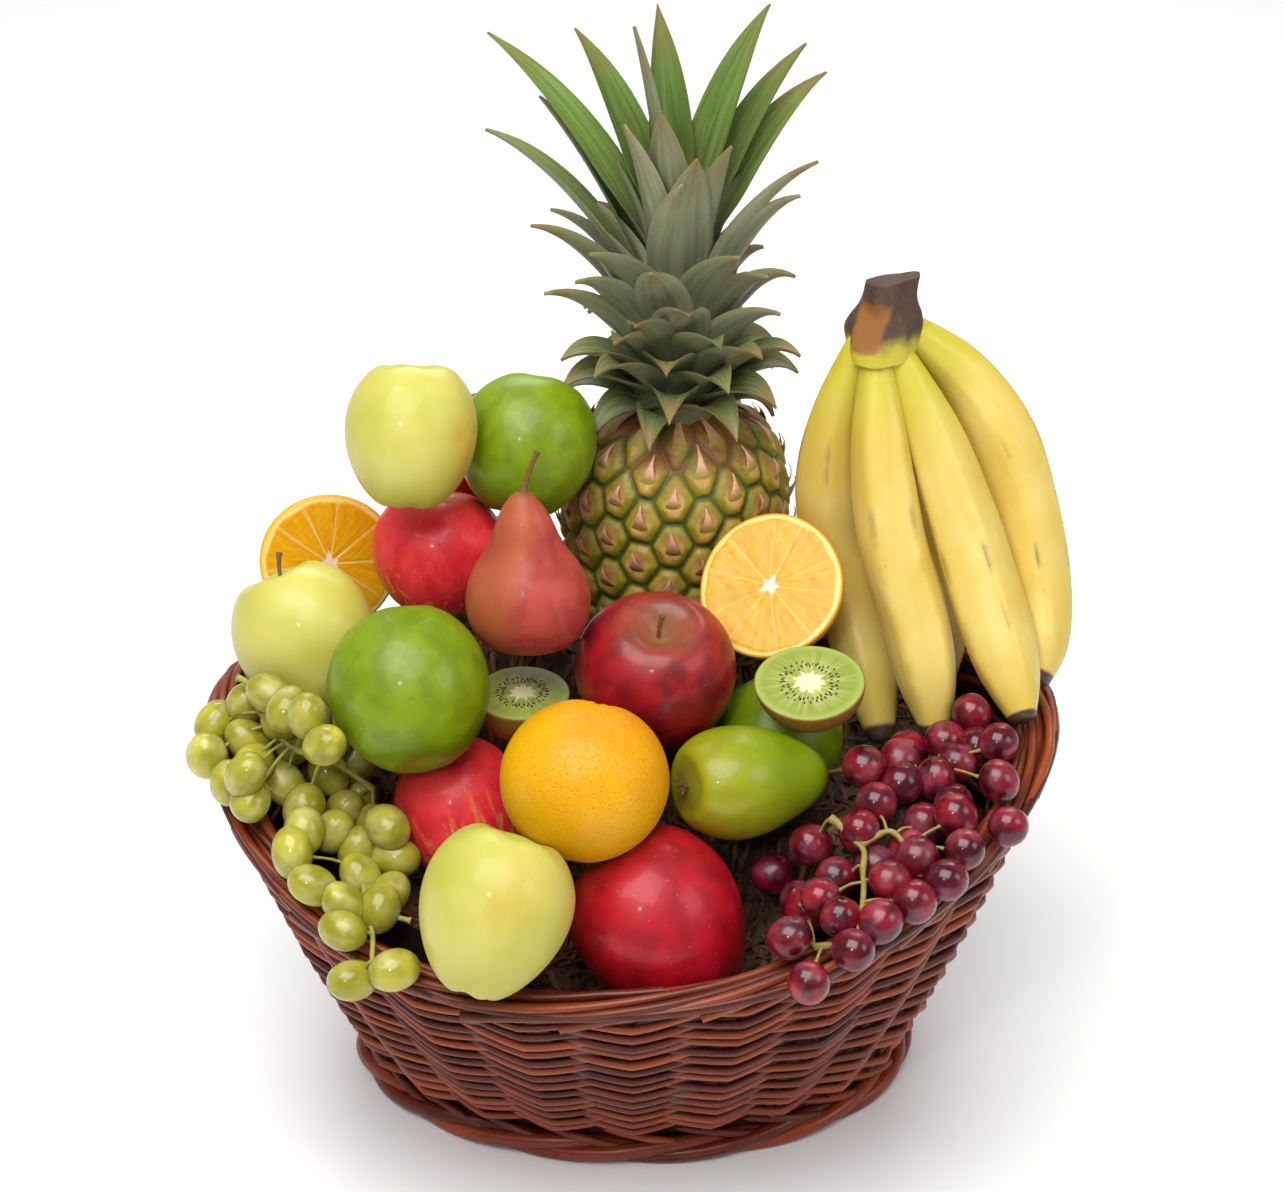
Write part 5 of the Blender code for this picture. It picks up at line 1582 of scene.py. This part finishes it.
# Leaves of the crown as seen: azimuth in degrees, then in millimetres the height where the leaf starts,
# how far out and how high its tip is, its half width, and how far the tip hangs
CROWN_LEAVES = (
    (176, 74, 88, 190, 9.0, 0), (186, 52, 89, 152, 9.5, -4), (170, 60, 66, 154, 9.0, 2),
    (168, 84, 48, 192, 10.5, 0), (214, 92, 26, 203, 10.0, 0), (110, 96, 18, 201, 9.5, 0),
    (12, 92, 43, 203, 11.0, 0), (4, 80, 59, 186, 10.0, 0), (6, 70, 68, 176, 10.5, -2),
    (350, 56, 66, 138, 10.0, -3), (354, 46, 58, 122, 11.0, -6), (248, 70, 32, 168, 12.5, 0),
    (282, 54, 43, 149, 13.0, 0), (190, 40, 70, 108, 10.5, -5), (176, 48, 60, 108, 10.0, -4),
    (196, 26, 66, 76, 10.5, -5), (255, 36, 56, 99, 12.5, -1), (338, 34, 58, 88, 12.0, -10),
    (326, 24, 56, 70, 11.5, -6), (250, 22, 62, 77, 12.0, -4), (335, 12, 66, 52, 10.5, -9),
    (284, 24, 62, 68, 12.0, -6), (306, 18, 64, 58, 11.5, -6), (232, 14, 64, 50, 11.0, -8),
    (268, 10, 68, 36, 11.0, -10), (300, 6, 62, 22, 10.0, -12), (204, 12, 62, 34, 10.5, -10),
    (222, 5, 58, 16, 10.0, -12), (350, 8, 60, 34, 10.0, -10), (320, 8, 62, 30, 10.5, -10),
    (250, 4, 54, 14, 10.0, -10), (188, 6, 58, 22, 10.0, -10), (225, 66, 34, 158, 12.5, 0),
    (312, 62, 38, 150, 12.5, 0), (268, 60, 36, 134, 13.0, 0), (300, 42, 52, 103, 13.0, -2),
    (325, 36, 54, 90, 13.0, -4), (228, 42, 54, 102, 13.0, -3), (212, 34, 58, 88, 12.5, -5),
    (238, 24, 60, 66, 13.0, -6), (272, 30, 58, 82, 13.5, -4), (290, 14, 64, 46, 12.5, -8),
    (212, 18, 62, 48, 12.0, -8), (262, 20, 63, 56, 12.5, -7),
)


# Bananas

@dataclass
class BananaHand:
    """Five bananas on one stalk, each a tube with blunt ridges along a smooth middle line."""

    steps: int = 64
    sides: int = 40
    cut_facing: tuple[float, float, float] = (-0.50, -0.62, 0.60)
    cut_out: float = 11.0

    def finger(self, points: tuple, twist: float, seed: int) -> Shell:
        """One banana.

        The radius is the middle line's own, swelled by up to 6.5 per cent at five ridges; the last part
        closes in to the small dry tip.
        """
        path = curve_through(np.array(points, dtype=float), self.steps)
        s = np.linspace(0.0, 1.0, self.steps)
        ahead = unit(np.gradient(path[:, :3], axis=0))
        across = unit(np.cross(ahead, np.array([0.35, -1.0, 0.0])))
        front = np.cross(across, ahead)
        b = angles_round(self.sides)
        ridge = np.abs(np.cos(2.5 * (b + twist))) ** 5
        strength = smooth(0.05, 0.25, s) * smooth(1.0, 0.8, s)
        radius = path[:, 3:] * (1.0 + (0.085 * ridge[None, :] - 0.02) * strength[:, None])
        close = np.clip((1.0 - s) / 0.012, 0.0, 1.0) ** 0.5
        radius = radius * np.where(s[:, None] > 0.985, 0.75 + 0.25 * close[:, None], 1.0)
        turned = across[:, None] * np.cos(b)[:, None] + front[:, None] * np.sin(b)[:, None]
        rings = path[:, None, :3] + turned * radius[..., None]
        ends = [np.broadcast_to(path[k, :3], (1, self.sides, 3)) for k in (0, -1)]
        grid = np.concatenate([ends[0], rings, ends[1]])
        along = np.r_[0.0, s, 1.0][:, None] + 0.0 * b
        ridges = np.concatenate([ridge[None], ridge[None] * strength[:, None], ridge[None]])
        marks = {"along": along, "ridge": ridges}
        grain = xyz(along * 200.0, b / TURN, 0.0 * along + seed * 9.0)
        return ball(grid, grain=grain, **marks)

    def stalk(self) -> Shell:
        """The dark stalk, lumpy, with a slanting cut at its top."""
        path = curve_through(np.array(BANANA_STALK, dtype=float), 24)
        b = angles_round(28)
        s = np.linspace(0.0, 1.0, 24)
        ring = np.stack([np.cos(b), np.sin(b) * 0.8, 0.0 * b], axis=-1)
        knobs = 0.10 * np.sin(3 * b + 1.0)[None, :] + 0.05 * np.sin(7 * b + 4 * s[:, None])
        radius = path[:, 3:] * (1.0 + knobs)
        rings = path[:, None, :3] + ring[None] * radius[..., None]
        rings[..., 2] += 0.25 * radius * np.sin(b + 2.4) * s[:, None]
        grid = np.concatenate([rings[:1].mean(axis=1, keepdims=True) + 0.0 * rings[:1], rings,
                               rings[-1:].mean(axis=1, keepdims=True) + 0.0 * rings[-1:]])
        grid = grid + 0.9 * wobble(grid, 41, 0.06)[..., None] * unit(grid - np.array([118.0, 63.0, 375.0]))
        facing = unit(np.array(self.cut_facing))
        beyond = np.maximum((grid - np.array([116.0, 60.0, 369.0])) @ facing - self.cut_out, 0.0)
        beyond = beyond * smooth(390.0, 384.0, grid[..., 2])
        grid = grid - beyond[..., None] * facing
        stalk = np.r_[0.0, 0.35 + 0.75 * s, 1.1][:, None] + 0.0 * b
        return ball(grid, stalk=stalk, cut=smooth(0.1, 0.9, beyond))

    def build(self, basis: Basis) -> None:
        """Make and dress the hand."""
        fingers = [self.finger(points, 0.35 * k + 0.2, k) for k, points in enumerate(BANANAS)]
        basis.add("banana_fruit", join(fingers + [self.stalk()]), BananaFinish().build(), "banana",
                  ("banana_hand",), crease=70.0)


# Middle lines of the bananas and of their stalk, as in the solid: place and half thickness
BANANAS = (
    ((108, 62, 370, 6), (97, 60, 333, 11), (95, 60, 296, 16), (100, 59, 259, 17), (108, 46, 231, 16),
     (115, 25, 205, 14), (121, 2, 181, 6)),
    ((114, 58, 370, 6), (116, 46, 336, 12), (119, 34, 306, 15), (124, 22, 278, 16), (133, 8, 251, 16),
     (140, -8, 224, 14), (144, -21, 200, 6)),
    ((121, 60, 370, 6), (140, 49, 330, 13), (155, 34, 292, 16), (165, 17, 264, 17), (175, -5, 238, 16),
     (180, -18, 225, 12), (184, -30, 214, 6)),
    ((127, 67, 374, 7), (156, 72, 347, 13), (176, 64, 319, 16), (188, 51, 285, 16), (194, 32, 252, 16),
     (195, 12, 231, 13), (192, -5, 219, 6)),
    ((118, 70, 376, 7), (124, 80, 345, 12), (133, 84, 308, 15), (142, 84, 270, 16), (148, 79, 234, 16),
     (153, 70, 200, 14), (153, 60, 174, 6)),
)
BANANA_STALK = ((116, 57, 362, 15), (117, 62, 374, 17), (119, 66, 386, 13), (121, 70, 396, 13))


# Grapes

@dataclass
class GrapeBunch:
    """A bunch of grapes laid on the heap: each grape is slid away from the viewer until it touches."""

    node: str
    finish: GrapeFinish
    grapes: tuple[Pixel, ...]
    stalks: tuple[tuple[Pixel, ...], ...]
    radius: float
    long: float = 1.1
    seed: int = 1
    tries: int = 1600
    reach: tuple[float, float] = (-300.0, 250.0)
    view_scale: float = 0.4624

    def across(self, pixel: np.ndarray) -> np.ndarray:
        """Place in the plane that faces the viewer, through the front of the heap, of a pixel."""
        x = VIEW_FROM[0] + (pixel[..., 0] - IMAGE_WIDE / 2) * self.view_scale
        h = 227.1 + (IMAGE_TALL / 2 - pixel[..., 1]) * self.view_scale
        return np.stack([x, h * math.sin(VIEW_DIP), h * math.cos(VIEW_DIP)], axis=-1)

    @property
    def touch(self) -> float:
        """Distance from the heap at which a grape rests."""
        return 1.07 * self.radius + 0.6

    def slide(self, tree: BVHTree, start: np.ndarray) -> float:
        """Way from a start, as the viewer looks, to where a grape touches the heap."""
        depth, last = self.reach
        close = tree.find_nearest(Vector(start + VIEW_AHEAD * depth))[3]
        while close >= self.touch and depth < last:
            depth += max(0.5, close - self.touch)
            close = tree.find_nearest(Vector(start + VIEW_AHEAD * depth))[3]
        return depth - 0.5

    def settle(self, tree: BVHTree) -> np.ndarray:
        """Middles of all grapes: each slid back until it touches the heap or one laid before."""
        apart = 1.44 * self.radius
        middles: list[np.ndarray] = []
        depths: list[float] = []
        for pixel in self.grapes:
            start = self.across(np.array(pixel, dtype=float))
            depth = self.slide(tree, start)
            moved = True
            while moved:
                moved = False
                for other, way in zip(middles, depths):
                    aside = other - VIEW_AHEAD * way - start
                    room = apart ** 2 - float(aside @ aside)
                    if room > 0.0 and abs(depth - way) < math.sqrt(room) - 0.001:
                        depth = way - math.sqrt(room)
                        moved = True
            middles.append(start + VIEW_AHEAD * depth)
            depths.append(depth)
        return np.array(self.fill(middles, tree))

    def fill(self, middles: list[np.ndarray], tree: BVHTree) -> list[np.ndarray]:
        """Add hindmost grapes on the heap where the ones that show leave room between them.

        Args:
            middles: Middles of the grapes that show.
            tree: Search tree over the heap.

        Returns:
            All middles, the hindmost ones last.
        """
        draw = np.random.default_rng(self.seed + 70)
        seen = np.array(self.grapes, dtype=float)
        laid = list(middles)
        for _ in range(self.tries):
            first = seen[draw.integers(len(seen))]
            near = seen[np.argsort(np.linalg.norm(seen - first, axis=1))[:6]]
            start = self.across(draw.dirichlet(np.full(len(near), 0.5)) @ near)
            place = start + VIEW_AHEAD * self.slide(tree, start)
            ways = np.linalg.norm(np.array(laid) - place, axis=1)
            round_it = np.array(laid)[ways < 4.0 * self.radius] @ VIEW_AHEAD
            free = ways.min() > 1.5 * self.radius and len(round_it) > 2
            if free and place @ VIEW_AHEAD > round_it.mean() - 3.0:
                laid.append(place)
        return laid

    def berries(self, middles: np.ndarray) -> Shell:
        """The grapes: ovals longer than wide, each with its own lie, a little uneven."""
        t, a, outward = sphere(15, 22)
        draw = np.random.default_rng(self.seed + 1)
        shells = []
        for middle in middles:
            radius = self.radius * draw.uniform(0.95, 1.04)
            oval = np.array([1.0, 0.97, self.long * draw.uniform(0.97, 1.05)]) * radius
            grid = outward * oval * (1.0 + 0.012 * wobble(outward, int(draw.integers(999)), 0.5))[..., None]
            dimple = 0.05 * radius * np.exp(-((math.pi - t) / 0.2) ** 2) + 0.0 * a
            grid[..., 2] += dimple
            shift = draw.uniform(0.0, 50.0, 3)
            one = ball(grid, local=outward + shift, tone=np.full(grid.shape[:2], draw.uniform()))
            lie = draw.normal(0.0, 0.6, 3) + np.array([0.0, 0.25, 0.85])
            shells.append(one.placed(turn_to(tuple(lie)), middle))
        return join(shells).marked(stem=0.0)

    def stems(self, middles: np.ndarray) -> Shell:
        """The stalks that show, and a short stalk from each grape to the nearest of them."""
        runs, shells = [], []
        for line in self.stalks:
            flat = self.across(np.array(line, dtype=float))
            ways = []
            for point in flat:
                offset = middles - point
                way = offset @ VIEW_AHEAD
                aside = np.linalg.norm(offset - way[:, None] * VIEW_AHEAD, axis=1)
                ways.append(float(np.average(way, weights=np.exp(-(aside / 14.0) ** 2) + 1e-6)) - 7.0)
            path = curve_through(flat + np.array(ways)[:, None] * VIEW_AHEAD, 20)
            path = path + 0.8 * wobble(path, self.seed + 3, 0.05)[:, None]
            radii_along = np.interp(np.linspace(0, 1, 20), [0.0, 0.06, 0.9, 1.0], [2.3, 1.5, 1.2, 1.7])
            knots = 1.0 + 0.25 * np.maximum(0.0, np.sin(np.linspace(0, 1, 20) * 22.0)) ** 4
            shells.append(tubes(path[None], (radii_along * knots)[None], 8, VIEW_AHEAD, seed=self.seed))
            runs.append(path)
        nodes = np.concatenate(runs)
        paths = []
        for middle in middles:
            way = np.linalg.norm(nodes - middle, axis=1)
            joint = nodes[int(way.argmin())]
            if self.radius + 1.0 < way.min() < 34.0:
                start = middle + unit(joint - middle) * self.radius * 0.9
                bend = (start + joint) / 2.0 + np.array([0.0, 0.0, 1.5])
                paths.append(curve_through(np.array([start, bend, joint]), 7))
        if paths:
            thin = np.interp(np.linspace(0, 1, 7), [0.0, 0.2, 1.0], [1.3, 0.7, 0.8])
            shells.append(tubes(np.array(paths), thin[None], 6, VIEW_AHEAD, seed=self.seed + 2))
        return join(shells).marked(stem=1.0)

    def build(self, basis: Basis) -> None:
        """Lay the bunch on the heap and dress it."""
        resting = [name for name in basis.nodes if not name.startswith("grapes")]
        middles = self.settle(basis.tree(resting))
        shell = join([self.berries(middles), self.stems(middles)])
        basis.add(f"{self.node}_fruit", shell, self.finish.build(), self.finish.name, (self.node,))


# Middles of the grapes that show, from the hindmost to the foremost, and the runs of their stalks, as
# pixels of the photograph
GREEN_GRAPES: tuple[Pixel, ...] = (
    (208, 725), (239, 707), (268, 694), (313, 714), (288, 745), (229, 783), (251, 798), (323, 776),
    (346, 768), (349, 806), (350, 898), (388, 827), (203, 757), (243, 742), (331, 742), (249, 773),
    (302, 809), (296, 850), (394, 857), (390, 892), (403, 957), (361, 969), (288, 709), (280, 786),
    (333, 832), (369, 832), (319, 880), (351, 921),
)
GREEN_STALKS = (
    ((262, 727), (288, 745), (310, 758), (339, 770), (369, 793)), ((354, 857), (372, 898), (384, 957)),
    ((372, 905), (415, 915)), ((234, 679), (249, 689), (262, 727)),
)
RED_GRAPES: tuple[Pixel, ...] = (
    (978, 716), (982, 750), (1001, 744), (914, 754), (905, 891), (871, 909), (844, 935), (952, 804),
    (956, 843), (833, 872), (856, 828), (901, 783), (937, 871), (864, 767), (960, 764), (996, 780),
    (1001, 822), (816, 889), (784, 925), (801, 965), (774, 875), (810, 843), (874, 802), (921, 822),
    (883, 873),
)
RED_STALKS = (
    ((828, 814), (856, 840), (858, 863), (856, 893), (844, 924), (809, 934)),
    ((856, 840), (883, 828), (903, 842)),
    ((917, 773), (936, 769)),
)


class Fruit(Enum):
    """Finishes shared by several pieces that are not skins."""

    PEEL = PeelFinish()
    CITRUS = CitrusFleshFinish()
    KIWI = KiwiFinish()


FINISHES: dict[Enum, bpy.types.Material] = {}

APPLES = (
    Apple("apple_pale_front", Skin.PALE, "skin_pale", 38.4, 42.6, (0.30, 0.52, 0.80), taper=0.20, lobes=0.012,
          flush_from=(1.0, -0.2, 0.0), flush=0.05, seed=1),
    Apple("apple_red_front", Skin.RED, "skin_red", 43.2, 47.5, (-0.50, 0.42, 0.72), taper=0.14, lobes=0.03,
          flush=1.1, seed=2),
    Apple("apple_red_low", Skin.STREAKED, "skin_red", 33.0, 38.0, (-0.3, 0.5, 0.8), flush=0.55, seed=3),
    Apple("apple_green_mid", Skin.GREEN, "skin_green", 39.2, 40.5, (-0.2, 0.75, 0.6), hollow=0.2,
          lobes=0.0, tuft=False, seed=4),
    Apple("apple_red_center", Skin.DARK_RED, "skin_dark_red", 40.0, 42.0, (0.08, -0.30, 0.95), spin=70.0,
          stem=14.0, stem_lean=0.3, flush=1.2, seed=5),
    Apple("apple_green_hidden", Skin.GREEN, "skin_green", 32.5, 34.0, (0.1, 0.4, 0.9), seed=6),
    Apple("apple_pale_left", Skin.PALE, "skin_pale", 35.6, 40.5, (-0.42, 0.36, 0.83), spin=180.0, stem=20.0,
          stem_lean=0.35, flush_from=(0.6, 0.0, -0.8), flush=0.0, seed=7),
    Apple("apple_red_upper", Skin.STREAKED, "skin_red", 34.0, 34.0, (0.05, 0.35, 0.93), flush=0.75, seed=8),
    Apple("apple_pale_top", Skin.PALE, "skin_pale", 33.0, 39.0, (0.05, 0.45, 0.88),
          flush_from=(1.0, 0.0, 0.0), flush=-0.1, seed=9),
    Apple("apple_green_top", Skin.GREEN, "skin_green", 34.4, 37.0, (0.2, 0.6, 0.75), hollow=0.2, seed=10),
    Apple("apple_green_back", Skin.GREEN, "skin_green", 33.5, 31.5, (-0.2, 0.5, 0.9), stem=12.0, seed=11),
    Apple("apple_red_back", Skin.RED, "skin_red", 32.5, 30.5, (-0.3, 0.6, 0.75), spin=40.0, stem=13.0,
          stem_lean=0.3, flush=0.9, seed=12),
    Apple("apple_red_left", Skin.RED, "skin_red", 29.0, 27.0, (-0.6, 0.1, 0.8), flush=0.9, seed=13),
)
PEARS = (
    Pear("pear_red", Skin.PEAR_RED, 30.0, 86.0, (-0.03, 0.12, 1.0), stem=18.0, stem_lean=-0.45, seed=1),
    Pear("pear_green", Skin.PEAR_GREEN, 29.2, 88.0, (0.94, 0.46, -0.20), stem=10.0, stem_lean=0.1, waist=0.05,
         belly=0.76, blunt=0.55, flush_from=(-0.3, -0.6, -0.4), flush=0.4, seed=2),
)
ORANGES = (
    Orange("orange_whole", 39.2, (0.2, 0.5, 0.8), seed=1),
    Orange("orange_back", 35.5, (0.1, 0.7, 0.6), seed=2),
)
HALVES = (
    OrangeHalf("orange_half_left", 34.5, 34.5, 32.0, (0.26, -0.91, 0.32), lines=0.65, seed=3),
    OrangeHalf("orange_half_right", 36.3, 36.3, 28.0, (-0.28, -0.64, 0.71), seed=4),
    KiwiHalf("kiwi_half_left", 23.5, 21.5, 26.0, (0.03, -0.05, 1.0), seed=5),
    KiwiHalf("kiwi_half_right", 26.6, 23.0, 25.0, (-0.10, -0.30, 0.95), seed=6),
)
BUNCHES = (
    GrapeBunch("grapes_green",
               GrapeFinish("grape_green", tint(194, 186, 74), tint(150, 146, 36), tint(222, 218, 166), 0.35,
                           tint(184, 190, 90), 0.85), GREEN_GRAPES, GREEN_STALKS, 9.7, 1.24, seed=1),
    GrapeBunch("grapes_red",
               GrapeFinish("grape_red", tint(150, 20, 40), tint(66, 6, 20), tint(170, 90, 110), 0.35,
                           tint(176, 160, 80), 0.6), RED_GRAPES, RED_STALKS, 10.0, 1.04, seed=2),
)


# Studio

@dataclass(frozen=True)
class SoftBox:
    """A rectangular studio light, aimed at a place in millimetres."""

    name: str
    place: tuple[float, float, float]
    size: tuple[float, float]
    watts: float
    aim: tuple[float, float, float] = (0.0, 0.0, 200.0)

    def build(self, basis: Basis) -> None:
        """Put the light in the scene."""
        light = bpy.data.lights.new(self.name, "AREA")
        light.shape = "RECTANGLE"
        light.size, light.size_y = (side * MM for side in self.size)
        light.energy = self.watts
        obj = bpy.data.objects.new(self.name, light)
        obj.location = np.array(self.place) * MM + basis.middle
        way = Vector(np.array(self.aim) - np.array(self.place))
        obj.rotation_euler = way.to_track_quat("-Z", "Y").to_euler()
        bpy.context.collection.objects.link(obj)


@dataclass(frozen=True)
class Studio:
    """White floor, white surroundings, soft boxes, and the camera at the photograph's viewing angle."""

    floor_half: float = 9.0
    world_light: float = 0.28

    def floor(self) -> None:
        """A pale floor, wide enough for every view."""
        half = self.floor_half
        mesh = bpy.data.meshes.new("floor")
        mesh.from_pydata([(-half, -half, 0), (half, -half, 0), (half, half, 0), (-half, half, 0)], [],
                         [(0, 1, 2, 3)])
        r = Recipe("floor_white")
        r.shade(Base_Color=(0.95, 0.95, 0.95), Roughness=0.95, Specular_IOR_Level=0.0)
        mesh.materials.append(r.material)
        floor = bpy.data.objects.new("floor", mesh)
        bpy.context.collection.objects.link(floor)

    def world(self) -> None:
        """Plain white light from all round."""
        world = bpy.data.worlds.new("studio")
        world.use_nodes = True
        background = world.node_tree.nodes["Background"]
        background.inputs["Color"].default_value = (1.0, 1.0, 1.0, 1.0)
        background.inputs["Strength"].default_value = self.world_light
        bpy.context.scene.world = world

    def camera(self, basis: Basis) -> None:
        """The camera, looking down at the heap."""
        data = bpy.data.cameras.new("camera")
        data.sensor_width = SENSOR_WIDE
        data.lens = FOCAL_PIXELS * SENSOR_WIDE / IMAGE_WIDE
        camera = bpy.data.objects.new("camera", data)
        camera.location = np.array(VIEW_FROM) * MM + basis.middle
        camera.rotation_euler = (math.pi / 2.0 - VIEW_DIP, 0.0, 0.0)
        bpy.context.collection.objects.link(camera)
        bpy.context.scene.camera = camera

    def build(self, basis: Basis) -> None:
        """Set up floor, light and camera; colours are shown as they are."""
        bpy.context.scene.view_settings.view_transform = "Standard"
        self.floor()
        self.world()
        self.camera(basis)
        for box in (SoftBox("key_light", (-300.0, -620.0, 1900.0), (1700.0, 1300.0), 42.0),
                    SoftBox("fill_light", (1300.0, -600.0, 1100.0), (700.0, 700.0), 5.0),
                    SoftBox("back_light", (100.0, 1500.0, 1500.0), (1800.0, 800.0), 20.0),
                    SoftBox("spark", (-300.0, -1100.0, 1100.0), (80.0, 80.0), 2.0)):
            box.build(basis)


def main() -> None:
    """Build every piece around the frame, then the studio."""
    logging.basicConfig(level=logging.INFO, format="%(name)s: %(message)s")
    for startup in [obj for obj in bpy.data.objects if obj.name in ("Cube", "Light", "Camera")]:
        bpy.data.objects.remove(startup)
    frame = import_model()
    basis = Basis(frame)
    for kind in (*Skin, *Fruit):
        FINISHES[kind] = kind.value.build()
    form = BasketForm()
    for piece in (Basket(form), Packing(form), *APPLES, *PEARS, *ORANGES, *HALVES, Pineapple(), BananaHand(),
                  *BUNCHES, Studio()):
        piece.build(basis)


if __name__ == "__main__":
    main()
